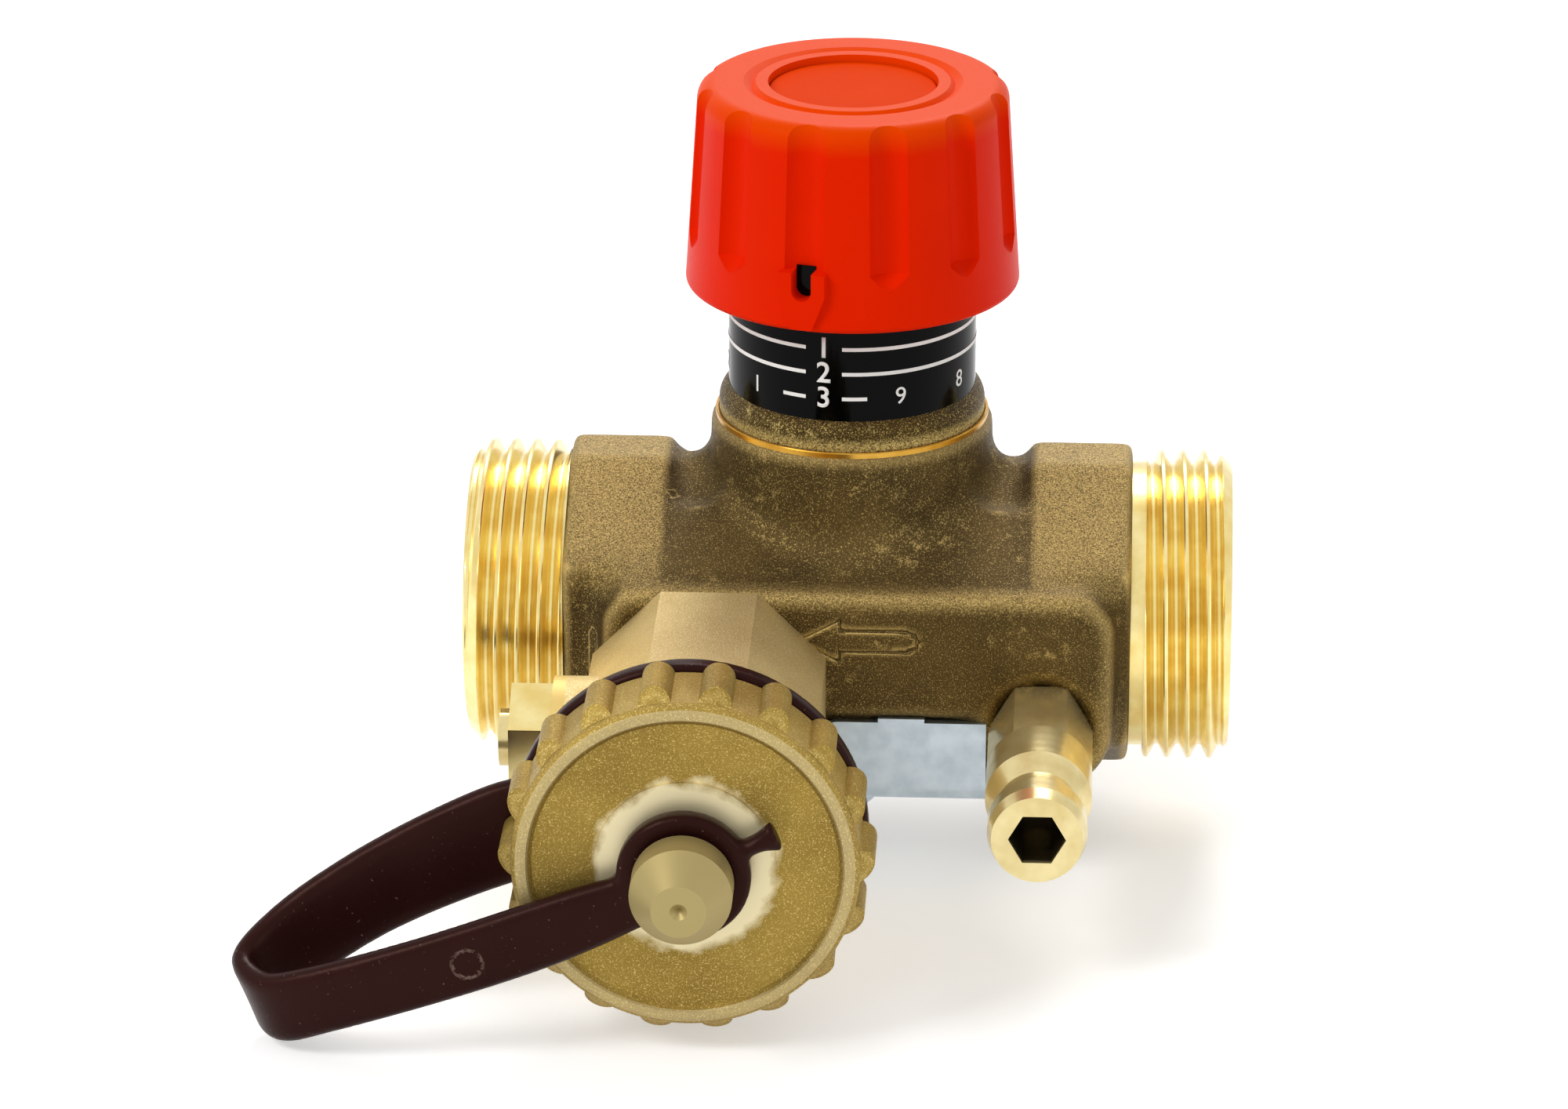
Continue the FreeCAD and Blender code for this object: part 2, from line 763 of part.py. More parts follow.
def handwheel():
    """The moulded handwheel: a deep cap with twelve grip flutes, an insert's seat on top and a square hub."""
    side = "wheel_radius - wheel_rim_round"
    top_outer = "wheel_top_radius - wheel_top_round"
    form = turned("wheel_form", [
        ("wheel_bore", "wheel_bottom"),
        (side, "wheel_bottom"),
        ("wheel_radius", "wheel_bottom + wheel_rim_round", "wheel_rim_round", 1),
        ("wheel_top_radius", "wheel_top - wheel_top_round"),
        (top_outer, "wheel_top", "wheel_top_round", 1),
        ("ring_outer + ring_rise * 2", "wheel_top"),
        ("ring_outer", "wheel_top - ring_rise"),
        ("ring_outer - ring_rise", "wheel_top"),
        ("insert_radius + 2 * slip", "wheel_top"),
        ("insert_radius + 2 * slip", INSERT_FLOOR),
        ("head_radius + 2 * slip", INSERT_FLOOR),
        ("head_radius + 2 * slip", HEAD_FLOOR),
        ("screw_shank + 3 * slip", HEAD_FLOOR),
        ("screw_shank + 3 * slip", HUB_UNDER),
        ("wheel_hub", HUB_UNDER),
        ("wheel_hub", WHEEL_CEILING),
        ("wheel_bore", WHEEL_CEILING),
    ])
    socket = prism("wheel_socket", 4, "square_flats + 2 * slip", f"{SQUARE_TOP} - {HUB_UNDER} + slip", UP,
                   ("0", "0", HUB_UNDER))
    slope = "((wheel_radius - wheel_top_radius) / (wheel_top - wheel_bottom))"
    lean = FreeCAD.Rotation(FreeCAD.Vector(0, 1, 0), -math.degrees(math.atan(number(slope))))
    wall = f"wheel_radius - {slope} * (flute_floor - wheel_bottom)"
    tool = turned("flute_tool", [
        ("0", "-flute_runout"),
        ("flute_reach / 2", "-flute_runout"),
        ("flute_radius", "0"),
        ("flute_radius", "wheel_top - flute_floor + flute_runout"),
        ("0", "wheel_top - flute_floor + flute_runout"),
    ], lean, (f"{wall} + flute_reach", "0", "flute_floor"))
    count = int(number("flutes"))
    flutes = copies_round("flute", tool, count, 180.0 / count)
    plain = cut("wheel_fluted", form, flutes + [socket])
    pointer, slot = wheel_pointer()
    node(cut("handwheel", joined("wheel_pointed", [plain, pointer]), [slot]), "handwheel")


def wheel_fasteners():
    """The insert that closes the handwheel's top, and the screw under it."""
    edge = "insert_depth / 3"
    top = "(wheel_top - insert_depth)"
    node(turned("handwheel_insert", [
        ("0", INSERT_FLOOR),
        ("insert_radius", INSERT_FLOOR),
        ("insert_radius", f"{top} - {edge}"),
        (f"insert_radius - {edge}", top, edge, 1),
        ("0", top),
    ]), "handwheel_insert")
    screw = turned("wheel_screw_form", [
        ("0", f"{HEAD_FLOOR} - screw_length + screw_shank * 2"),
        ("screw_shank", f"{HEAD_FLOOR} - screw_length + screw_shank * 2"),
        ("screw_shank", HEAD_FLOOR),
        ("head_radius", HEAD_FLOOR),
        ("head_radius", f"{HEAD_FLOOR} + head_height"),
        ("0", f"{HEAD_FLOOR} + head_height"),
    ])
    key = prism("wheel_screw_key", 6, "screw_key", "head_height", UP,
                ("0", "0", f"{HEAD_FLOOR} + head_height / 3"))
    node(cut("handwheel_screw", screw, [key]), "handwheel_screw")


def drain_body():
    """The drain cock's forged body: spigot, octagon, hose thread and the branch for its stem."""
    room = "(ball_radius + ball_room)"
    neck_end = "(octagon_end + collar_width + throat_width)"
    groove = "port_radius - static_depth"
    form = turned("drain_round", [
        ("0", SPIGOT_DEPTH),
        ("port_radius", SPIGOT_DEPTH),
        ("port_radius", "pad_face - 2 * gland_width"),
        (groove, "pad_face - 2 * gland_width"),
        (groove, "pad_face - gland_width"),
        ("port_radius", "pad_face - gland_width"),
        ("port_radius", OCTAGON_START),
        ("octagon_flats / 2 - slip", OCTAGON_START),
        ("octagon_flats / 2 - slip", "octagon_end"),
        ("collar_radius", "octagon_end"),
        ("collar_radius", "octagon_end + collar_width"),
        ("throat_radius", "octagon_end + collar_width"),
        ("throat_radius", neck_end),
        ("thread_radius - hose_chamfer", neck_end),
        ("thread_radius", f"{neck_end} + hose_chamfer"),
        ("thread_radius", "hose_end - hose_chamfer"),
        ("thread_radius - hose_chamfer", "hose_end"),
        ("0", "hose_end"),
    ], FRONT, DRAIN)
    bar = prism("drain_octagon", 8, "octagon_flats", "octagon_end - pad_face",
                FRONT.multiply(FreeCAD.Rotation(FreeCAD.Vector(0, 0, 1), 22.5)),
                ("-drain_left", "-pad_face", "-drain_drop"))
    branch = cylinder("drain_branch", "branch_radius", "branch_end", LEFT, BALL)
    throat = "(hose_end - hose_bore_depth)"
    seat_floor = "(ball_place - ball_seat_back - slip)"
    hollow = turned("drain_hollow", [
        ("0", f"{SPIGOT_DEPTH}"),
        ("port_hole", f"{SPIGOT_DEPTH}"),
        ("port_hole", seat_floor),
        (room, seat_floor),
        (room, throat),
        ("hose_bore", throat),
        ("hose_bore", "hose_end"),
        ("0", "hose_end"),
    ], FRONT, DRAIN)
    stem = cylinder("branch_hollow", "branch_bore", "branch_end", LEFT, BALL)
    whole = joined("drain_whole", [form, bar, branch])
    node(cut("drain_body", whole, [hollow, stem]), "drain_body")
    o_ring("drain_body_o_ring", groove, "port_radius + slip", "pad_face - 1.5 * gland_width", FRONT, DRAIN)


def ball_set():
    """The drain's ball, its two seats and the ring that holds them in."""
    ball = doc.addObject("Part::Sphere", "ball_form")
    bind(ball, "Radius", "ball_radius")
    place(ball, UP, BALL)
    way = cylinder("ball_way", "ball_bore", "4 * ball_radius", UP,
                   ("-drain_left", "-ball_place", "-drain_drop - 2 * ball_radius"))
    slot = box("ball_slot", ("tang_length + slip", "tang_width + 2 * slip", "4 * ball_radius"),
               ("-drain_left - ball_radius", "-ball_place - tang_width / 2 - slip",
                "-drain_drop - 2 * ball_radius"))
    node(cut("drain_ball", ball, [way, slot]), "drain_ball")
    outer = "ball_radius + ball_room - slip"
    for name, side in (("inner", -1), ("outer", 1)):
        corners = [
            ("ball_seat_bore", f"ball_place + {side} * ball_seat_land"),
            (outer, f"ball_place + {side} * ball_seat_face"),
            (outer, f"ball_place + {side} * ball_seat_back"),
            ("ball_seat_bore", f"ball_place + {side} * ball_seat_back"),
        ]
        node(turned(f"ball_seat_{name}", corners, FRONT, DRAIN), f"ball_seat_{name}")
    start = "(ball_place + ball_seat_back)"
    ring = turned("retainer_form", [
        ("ball_seat_bore", start),
        (outer, start),
        (outer, f"{start} + retainer_length"),
        ("ball_seat_bore", f"{start} + retainer_length"),
    ], FRONT, DRAIN)
    key = prism("retainer_hexagon", 6, "retainer_key", "retainer_length", FRONT,
                ("-drain_left", f"-{start} - retainer_length / 2", "-drain_drop"))
    node(cut("ball_retainer", ring, [key]), "ball_retainer")


def drain_stem():
    """The stem that turns the ball, its seal and its gland nut, along -X."""
    tang_end = "(ball_radius + slip)"
    form = turned("stem_form", [
        ("0", tang_end),
        ("stem_collar", tang_end),
        ("stem_collar", f"{tang_end} + stem_collar_height"),
        ("stem_radius", f"{tang_end} + stem_collar_height"),
        ("stem_radius", "stem_end"),
        ("0", "stem_end"),
    ], LEFT, BALL)
    tang = box("stem_tang", ("tang_length", "tang_width", "tang_width * 2"),
               (f"-drain_left - {tang_end}", "-ball_place - tang_width / 2", "-drain_drop - tang_width"))
    slot = box("stem_slot_tool", ("2 * stem_slot_depth", "stem_slot", "4 * stem_radius"),
               ("-drain_left - stem_end - stem_slot_depth", "-ball_place - stem_slot / 2",
                "-drain_drop - 2 * stem_radius"))
    node(cut("drain_stem", joined("stem_whole", [form, tang]), [slot]), "drain_stem")
    spigot_start = "(branch_end - nut_spigot)"
    middle = f"(({tang_end} + stem_collar_height + {spigot_start}) / 2)"
    o_ring("drain_stem_o_ring", "stem_radius", "branch_bore", middle, LEFT, BALL)
    hexagon = prism("nut_hexagon", 6, "nut_flats", "nut_end - branch_end", LEFT,
                    ("-drain_left - branch_end", "-ball_place", "-drain_drop"))
    spigot = cylinder("nut_spigot_form", "branch_bore - slip", "nut_end - branch_end + nut_spigot", LEFT,
                      (f"-drain_left - {spigot_start}", "-ball_place", "-drain_drop"))
    hole = cylinder("nut_hole", "stem_radius + slip", "nut_end", LEFT, BALL)
    node(cut("drain_gland_nut", joined("nut_whole", [hexagon, spigot]), [hole]), "drain_gland_nut")


def drain_cap():
    """The lobed cap with its turned pin, one forged and machined piece, and the gasket inside it."""
    dish = "(cap_face - cap_ridge)"
    boss = f"({dish} + boss_rise)"
    form = turned("cap_form", [
        (CAP_BORE, "cap_back"),
        (CAP_RADIUS, "cap_back"),
        (CAP_RADIUS, "cap_face - cap_round"),
        (f"{CAP_RADIUS} - cap_round", "cap_face", "cap_round", 1),
        (f"{CAP_RADIUS} - cap_round - cap_ridge", "cap_face"),
        (f"{CAP_RADIUS} - cap_round - 2 * cap_ridge", dish),
        ("boss_radius", dish),
        ("boss_radius", boss),
        ("pin_neck", boss),
        ("pin_neck", "pin_head_start"),
        ("pin_radius", "pin_head_start"),
        ("pin_radius", "pin_cone"),
        ("pin_flat", "pin_end"),
        ("centre_drill", "pin_end"),
        ("0", "pin_end - centre_drill"),
        ("0", CAP_INSIDE),
        (CAP_BORE, CAP_INSIDE),
    ], FRONT, DRAIN)
    inside = f"({CAP_BORE} + {CAP_RADIUS}) / 2"
    limit = turned("lobe_limit", [
        (inside, "cap_back"),
        (LOBE_REACH, "cap_back"),
        (LOBE_REACH, "lobe_end"),
        (CAP_RADIUS, "lobe_end + lobe_rise"),
        (inside, "lobe_end + lobe_rise"),
    ], FRONT, DRAIN)
    bar = cylinder("lobe_bar", "lobe_radius", f"{LOBE_REACH} + lobe_radius + pin_end", UP,
                   (f"{LOBE_REACH} - lobe_radius", "0", "cap_back / 2"))
    count = int(number("lobes"))
    bars = copies_round("lobe", bar, count, 0.0, FRONT, DRAIN)
    lobes = shared("lobe_set", [joined("lobe_bars", bars), limit])
    node(joined("drain_cap", [form, lobes]), "drain_cap")
    node(turned("cap_gasket", [
        (f"{GASKET_RADIUS} - gasket_width", f"{CAP_INSIDE} - gasket_height"),
        (GASKET_RADIUS, f"{CAP_INSIDE} - gasket_height"),
        (GASKET_RADIUS, CAP_INSIDE),
        (f"{GASKET_RADIUS} - gasket_width", CAP_INSIDE),
    ], FRONT, DRAIN), "cap_gasket")


def band_section(spot, along, width, width_way):
    """A flat section of the band, square to its line at one spot."""
    across = (width_way - along * width_way.dot(along)).normalize()
    through = along.cross(across) * (number("strap_thick") / 2)
    reach = across * (width / 2)
    corners = [spot + reach + through, spot + reach - through,
               spot - reach - through, spot - reach + through]
    return Part.makePolygon(corners + corners[:1])


def strap_band():
    """The band, swept along its line from its wide root to its narrow end, leaning as it sags."""
    lean = math.radians(number("strap_lean"))
    width_way = FreeCAD.Vector(-math.sin(lean), 0, math.cos(lean))
    line = Part.BSplineCurve()
    line.interpolate([FreeCAD.Vector(-left, -depth, -drop) for left, depth, drop in STRAP_LINE])
    sweep = Part.BRepOffsetAPI.MakePipeShell(Part.Wire(line.toShape()))
    sweep.setBiNormalMode(width_way)
    for step, width in ((line.FirstParameter, "strap_root"), (line.LastParameter, "strap_neck")):
        along = FreeCAD.Vector(line.tangent(step)[0]).normalize()
        sweep.add(band_section(line.value(step), along, number(width), width_way))
    sweep.build()
    sweep.makeSolid()
    return sweep.shape()


def flat_ring(outer, inner, depth):
    """A flat ring of the strap's thickness round the drain's axis, its middle at a depth."""
    thick = number("strap_thick")
    start = FreeCAD.Vector(0, -depth + thick / 2, 0)
    toward = FreeCAD.Vector(0, -1, 0)
    return Part.makeCylinder(outer, thick, start, toward).cut(Part.makeCylinder(inner, thick, start, toward))


def retaining_strap():
    """The soft strap: a ring behind the cap, a band that loops out and sags, a ring on the pin."""
    back = number("octagon_end + collar_width + throat_width / 2")
    front = number("(cap_face - cap_ridge + boss_rise + pin_head_start) / 2")
    large = flat_ring(number("strap_ring"), number("throat_radius + 2 * slip"), back)
    small_bore = number("pin_neck + 2 * slip")
    small = flat_ring(number("strap_loop_ring"), small_bore, front)
    thick, width = number("strap_thick"), number("strap_tab_width")
    tab_start = number("pin_neck + strap_loop_ring") / 2
    tab = Part.makeBox(number("strap_tab") - tab_start, thick, width,
                       FreeCAD.Vector(tab_start, -front - thick / 2, -width / 2))
    tab.rotate(FreeCAD.Vector(), FreeCAD.Vector(0, 1, 0), -number("strap_lean"))
    pin_room = Part.makeCylinder(small_bore, 4 * thick, FreeCAD.Vector(0, -front + 2 * thick, 0),
                                 FreeCAD.Vector(0, -1, 0))
    strap = doc.addObject("Part::Feature", "retaining_strap")
    strap.Shape = large.fuse([strap_band(), small, tab]).cut(pin_room).removeSplitter()
    node(place(strap, UP, DRAIN), "retaining_strap")


def test_nipple():
    """The self-sealing test nipple: turned bar with a milled hexagon and a key socket."""
    bottom = "(pad_face - nipple_depth)"
    form = turned("nipple_form", [
        ("0", bottom),
        ("nipple_thread", bottom),
        ("nipple_thread", f"{bottom} + nipple_gland"),
        ("nipple_thread - nipple_gland / 2", f"{bottom} + nipple_gland"),
        ("nipple_thread - nipple_gland / 2", f"{bottom} + 2 * nipple_gland"),
        ("nipple_thread", f"{bottom} + 2 * nipple_gland"),
        ("nipple_thread", "pad_face - port_sink"),
        ("nipple_bar", "pad_face - port_sink"),
        ("nipple_bar", "nipple_collar_end"),
        ("nipple_groove", "nipple_groove_start"),
        ("nipple_groove", "nipple_groove_end"),
        ("nipple_ring", "nipple_ring_start"),
        ("nipple_ring", "nipple_ring_end"),
        ("nipple_nose", "nipple_end"),
        ("0", "nipple_end"),
    ], FRONT, TEST)
    solid_bar = cylinder("nipple_blank", "nipple_bar + pad_edge",
                         "nipple_hex_end - pad_face + port_sink", FRONT,
                         ("test_right", "-pad_face + port_sink", "-test_drop"))
    hexagon = prism("nipple_hexagon", 6, "nipple_flats", "2 * nipple_end", FRONT, TEST)
    waste = cut("nipple_waste", solid_bar, [hexagon])
    hollow = turned("nipple_hollow", [
        ("0", bottom),
        ("nipple_throat", bottom),
        ("nipple_throat", "chamber_start"),
        ("nipple_chamber", "chamber_start"),
        ("nipple_chamber", "chamber_end"),
        ("nipple_throat", "chamber_end"),
        ("nipple_throat", "nipple_end"),
        ("0", "nipple_end"),
    ], FRONT, TEST)
    key = prism("nipple_socket", 6, "nipple_key", "nipple_key_depth", FRONT,
                ("test_right", "-nipple_end + nipple_key_depth", "-test_drop"))
    node(cut("test_nipple", form, [waste, hollow, key]), "test_nipple")
    o_ring("nipple_o_ring", "nipple_thread - nipple_gland / 2", "nipple_thread + slip",
           f"{bottom} + 1.5 * nipple_gland", FRONT, TEST)


def nipple_inside():
    """The poppet that closes the test nipple, and the spring behind it."""
    head = "(chamber_end - slip - poppet_height)"
    node(turned("nipple_poppet", [
        ("0", head),
        ("poppet_radius", head),
        ("poppet_radius", f"{head} + poppet_height"),
        ("poppet_stem", f"{head} + poppet_height"),
        ("poppet_stem", f"{head} + poppet_height + poppet_stem_length"),
        ("0", f"{head} + poppet_height + poppet_stem_length"),
    ], FRONT, TEST), "nipple_poppet")
    wire = number("spring_wire")
    start = number("chamber_start + slip") + wire
    length = number(f"{head} - slip") - wire - start
    path = Part.makeHelix(length / number("spring_turns"), length, number("spring_coil"))
    coil = number("spring_coil")
    angles = [math.tau * side / WIRE_SIDES for side in range(WIRE_SIDES + 1)]
    ring = [FreeCAD.Vector(coil + wire * math.cos(turn), 0, wire * math.sin(turn)) for turn in angles]
    section = Part.makePolygon(ring)
    spring = doc.addObject("Part::Feature", "nipple_spring")
    spring.Shape = Part.Wire(path).makePipeShell([section], True, True)
    foot = ("test_right", "-chamber_start - slip - spring_wire", "-test_drop")
    node(place(spring, FRONT, foot), "nipple_spring")


def lock_plate():
    """The bent lock plate under the front, and the dome-head screw that holds it."""
    leg = "-pad_drop - slip"
    face = "-pad_face"
    inner = "plate_bend - plate_thick + 2 * slip"
    strip = padded("plate_strip", "YZ_Plane", [
        (face, leg),
        (face, "-plate_bottom + plate_bend"),
        (f"{face} + plate_bend", "-plate_bottom", "plate_bend", 1),
        (f"-{PLATE_BACK}", "-plate_bottom"),
        (f"-{PLATE_BACK}", "-plate_bottom + plate_thick"),
        (f"{face} + plate_bend + 2 * slip", "-plate_bottom + plate_thick"),
        (f"{face} + plate_thick", f"-plate_bottom + plate_bend + 2 * slip", inner, -1),
        (f"{face} + plate_thick", leg),
    ], "plate_left + plate_right", UP, ("-plate_left", "0", "0"))
    ear = box("plate_ear", ("2 * lug_radius", f"pad_face - plate_bend - {PLATE_BACK}", "plate_thick"),
              ("-lug_radius", "-pad_face + plate_bend", "-plate_bottom"))
    tab = box("plate_tab", ("plate_tab_width", "plate_thick", "plate_tab_rise + plate_thick"),
              ("plate_tab_left", face, f"{leg} - plate_thick"))
    hole = cylinder("plate_hole", "bolt_radius + slip", "plate_bottom", UP,
                    ("0", "-lug_back", "-plate_bottom - slip"))
    whole = cut("plate_whole", joined("plate_joined", [strip, ear, tab]), [hole])
    corner = (-number("plate_left"), number(leg))

    def at_corner(edge):
        middle = edge.CenterOfMass
        return abs(middle.x - corner[0]) < 0.001 and abs(middle.z - corner[1]) < 0.001

    node(rounded("lock_plate", whole, "plate_corner", at_corner), "lock_plate")
    under = "-plate_bottom"
    node(turned("lock_screw", [
        ("0", f"{under} - dome_height"),
        ("dome_radius - dome_height / 2", f"{under} - dome_height"),
        ("dome_radius", under, "dome_round", 1),
        ("bolt_radius", under),
        ("bolt_radius", f"{under} + bolt_length"),
        ("0", f"{under} + bolt_length"),
    ], UP, ("0", "-lug_back", "0")), "lock_screw")


def export():
    """Checks every object and writes each piece to its own file."""
    doc.recompute()
    for item in doc.Objects:
        failed = [word for word in item.State if word in ("Invalid", "Error")]
        if failed:
            raise SystemExit(f"{item.Label} is {failed}")
    os.makedirs("parts", exist_ok=True)
    for item in nodes:
        shape = item.Shape
        if shape.isNull() or not shape.isValid():
            raise SystemExit(f"{item.Label} has no valid shape")
        shape.exportStep(f"parts/{item.Label}.step")
        print(f"{item.Label}: {len(shape.Solids)} solid, {shape.Volume:.1f} mm3")


write_sheet()
valve_body()
bonnet()
spindle()
cone_set()
scale_sleeve()
handwheel()
wheel_fasteners()
drain_body()
ball_set()
drain_stem()
drain_cap()
retaining_strap()
test_nipple()
nipple_inside()
lock_plate()
export()
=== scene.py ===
# %% [markdown]
# # A balancing valve, dressed around its frame
# The valve sets the flow in a pipe: its red handwheel lowers a cone inside a forged brass body. The frame below
# holds every solid at its true size, in metres, so this lesson adds only what the eye wants next: finishes, the
# rounds of the forging, the screw threads, the printed scale and the soft strap.

# %% Load the frame
import json
import math

import bmesh
import bpy
from mathutils import Matrix, Vector

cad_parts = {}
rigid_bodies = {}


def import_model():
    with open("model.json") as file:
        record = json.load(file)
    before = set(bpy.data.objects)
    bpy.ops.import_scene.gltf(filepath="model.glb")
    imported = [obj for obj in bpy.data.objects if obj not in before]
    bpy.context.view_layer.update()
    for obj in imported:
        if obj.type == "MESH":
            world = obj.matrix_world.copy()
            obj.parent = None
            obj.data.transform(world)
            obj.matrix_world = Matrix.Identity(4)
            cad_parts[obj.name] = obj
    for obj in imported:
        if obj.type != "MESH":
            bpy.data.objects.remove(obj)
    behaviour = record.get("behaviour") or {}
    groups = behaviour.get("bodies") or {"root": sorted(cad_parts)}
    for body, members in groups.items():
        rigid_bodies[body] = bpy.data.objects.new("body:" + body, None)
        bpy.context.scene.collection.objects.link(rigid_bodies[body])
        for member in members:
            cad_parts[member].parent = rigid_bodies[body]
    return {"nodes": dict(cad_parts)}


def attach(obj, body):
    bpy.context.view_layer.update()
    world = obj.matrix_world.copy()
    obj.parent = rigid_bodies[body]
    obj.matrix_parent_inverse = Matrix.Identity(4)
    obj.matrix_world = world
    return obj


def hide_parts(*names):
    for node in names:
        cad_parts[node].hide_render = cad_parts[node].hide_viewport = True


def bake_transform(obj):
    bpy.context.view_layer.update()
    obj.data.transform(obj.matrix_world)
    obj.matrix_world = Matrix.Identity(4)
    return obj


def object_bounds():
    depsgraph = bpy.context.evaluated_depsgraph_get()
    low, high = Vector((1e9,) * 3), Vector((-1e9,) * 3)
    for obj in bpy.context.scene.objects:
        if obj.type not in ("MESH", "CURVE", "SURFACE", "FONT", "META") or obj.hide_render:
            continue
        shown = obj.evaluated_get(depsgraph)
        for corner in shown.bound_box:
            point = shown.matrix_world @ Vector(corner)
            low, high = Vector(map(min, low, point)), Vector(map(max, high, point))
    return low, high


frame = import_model()
cad_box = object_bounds()
MM = 0.001
scene = bpy.context.scene

# %% [markdown]
# The frame's nodes already stand in their places. One small function fills a node's inputs with values and links, and
# one adds a shader or geometry node with its settings and fills it. A third turns a screen colour into the linear
# colour that the renderer counts in.

# %% Helpers


def fill(tree, item, inputs):
    """Gives each input a value, or a link where the value is a socket or a node, whose first output is meant."""
    for key, value in inputs.items():
        if isinstance(value, bpy.types.Node):
            value = value.outputs[0]
        if isinstance(value, bpy.types.NodeSocket):
            tree.links.new(value, item.inputs[key])
        else:
            item.inputs[key].default_value = value


def add(tree, kind, inputs=None, **settings):
    """Adds a node with its settings, and fills its inputs."""
    item = tree.nodes.new(kind)
    for name, value in settings.items():
        setattr(item, name, value)
    fill(tree, item, inputs or {})
    return item


def linear(code):
    """The linear colour of an sRGB hex value."""
    parts = [int(code[i:i + 2], 16) / 255 for i in (1, 3, 5)]
    return tuple(p / 12.92 if p <= 0.04045 else ((p + 0.055) / 1.055) ** 2.4 for p in parts) + (1.0,)


print("mid grey in linear light:", round(linear("#808080")[0], 3))

# %% [markdown]
# The picture was taken from in front, a little to the right, about 22 degrees above. A long lens keeps the valve's
# edges nearly parallel. The camera aims a little left of and above the crossing of the two axes, because the strap
# hangs out to the left.

# %% Camera
TURN = math.radians(2.75)
RISE = math.radians(22.0)
DISTANCE = 0.593
FOCAL, SENSOR = 158, 36
AIM_UP, AIM_LEFT = 3.7 * MM, 5.8 * MM
sight = Vector((math.sin(TURN) * math.cos(RISE), -math.cos(TURN) * math.cos(RISE), math.sin(RISE)))
facing = sight.to_track_quat("Z", "Y")
right, upward = facing @ Vector((1, 0, 0)), facing @ Vector((0, 1, 0))
aim = upward * AIM_UP - right * AIM_LEFT

camera_data = bpy.data.cameras.new("camera")
camera_data.lens = FOCAL
camera_data.sensor_width = SENSOR
camera_data.clip_start = 0.01
camera = bpy.data.objects.new("camera", camera_data)
camera.location = aim + sight * DISTANCE
camera.rotation_mode = "QUATERNION"
camera.rotation_quaternion = facing
scene.collection.objects.link(camera)
scene.camera = camera
print("camera at", [round(v, 3) for v in camera.location])

# %% [markdown]
# The studio is white: a plain pale floor just under the valve's lowest point, and a white world. Rays from the
# camera and reflections see white, while the light that the world sheds on the object is held lower, so that the
# lamps can still model the forms. The floor is a real surface and keeps the shadow.

# %% Floor and world
FLOOR_HALF = 1.6
FLOOR_LEVEL = cad_box[0][2] - 0.4 * MM
WHITE, PAPER = (1, 1, 1, 1), (0.92, 0.92, 0.92, 1)
PAPER_GLOW = 0.42
WORLD_LIGHT = 0.45


def sees_white(tree):
    """One for rays from the camera, and for rays that a surface reflects or lets through."""
    path = add(tree, "ShaderNodeLightPath")
    sight_or_gloss = add(tree, "ShaderNodeMath", {0: path.outputs["Is Camera Ray"], 1: path.outputs["Is Glossy Ray"]},
                         operation="ADD")
    return add(tree, "ShaderNodeMath", {0: sight_or_gloss, 1: path.outputs["Is Transmission Ray"]}, operation="ADD")


floor_mesh = bpy.data.meshes.new("studio_floor")
form = bmesh.new()
bmesh.ops.create_grid(form, x_segments=1, y_segments=1, size=FLOOR_HALF,
                      matrix=Matrix.Translation((0, 0, FLOOR_LEVEL)))
form.to_mesh(floor_mesh)
form.free()
floor = bpy.data.objects.new("studio_floor", floor_mesh)
scene.collection.objects.link(floor)

paper = bpy.data.materials.new("white_paper_sweep")
paper.use_nodes = True
tree = paper.node_tree
tree.nodes.clear()
matte = add(tree, "ShaderNodeBsdfDiffuse", {"Color": PAPER})
glow = add(tree, "ShaderNodeEmission", {"Color": WHITE, "Strength": PAPER_GLOW})
both = add(tree, "ShaderNodeAddShader", {0: matte, 1: glow})
mixed = add(tree, "ShaderNodeMixShader", {0: sees_white(tree), 1: matte, 2: both})
add(tree, "ShaderNodeOutputMaterial", {"Surface": mixed})
floor_mesh.materials.append(paper)

world = bpy.data.worlds.new("studio")
world.use_nodes = True
tree = world.node_tree
tree.nodes.clear()
level = add(tree, "ShaderNodeMapRange", {"Value": sees_white(tree), "To Min": WORLD_LIGHT, "To Max": 1.0})
sky = add(tree, "ShaderNodeBackground", {"Color": WHITE, "Strength": level})
add(tree, "ShaderNodeOutputWorld", {"Surface": sky})
scene.world = world
scene.view_settings.view_transform = "Standard"
print("floor at", round(FLOOR_LEVEL / MM, 2), "mm")

# %% [markdown]
# Three soft boxes light the valve: the key high on the left, a weaker fill on the right, and a narrow one from
# above and behind that draws bright rims on the brass. Each lamp is far larger than the valve, as in a product
# studio, so highlights are broad and shadows soft.

# %% Lamps
LAMPS = (("key", (-0.62, -0.50, 0.72), 0.36, 4.6),
         ("fill", (0.80, -0.55, 0.25), 0.45, 1.0),
         ("rim", (0.10, 0.75, 0.75), 0.45, 4.5))
for name, place, size, watts in LAMPS:
    data = bpy.data.lights.new(name, "AREA")
    data.size = size
    data.energy = watts
    lamp = bpy.data.objects.new(name, data)
    lamp.location = place
    lamp.rotation_mode = "QUATERNION"
    lamp.rotation_quaternion = Vector(place).to_track_quat("Z", "Y")
    scene.collection.objects.link(lamp)
    print(name, "at", round(Vector(place).length, 2), "m")

# %% [markdown]
# Every finish starts from the same few nodes: a principled shader, its output, and the object's own coordinates.
# All patterns are sized from real millimetres, so a helper gives the scale of a pattern whose features are that
# many millimetres apart, and another measures how far a point lies from an axis or a centre, for masks.

# %% The start of a finish


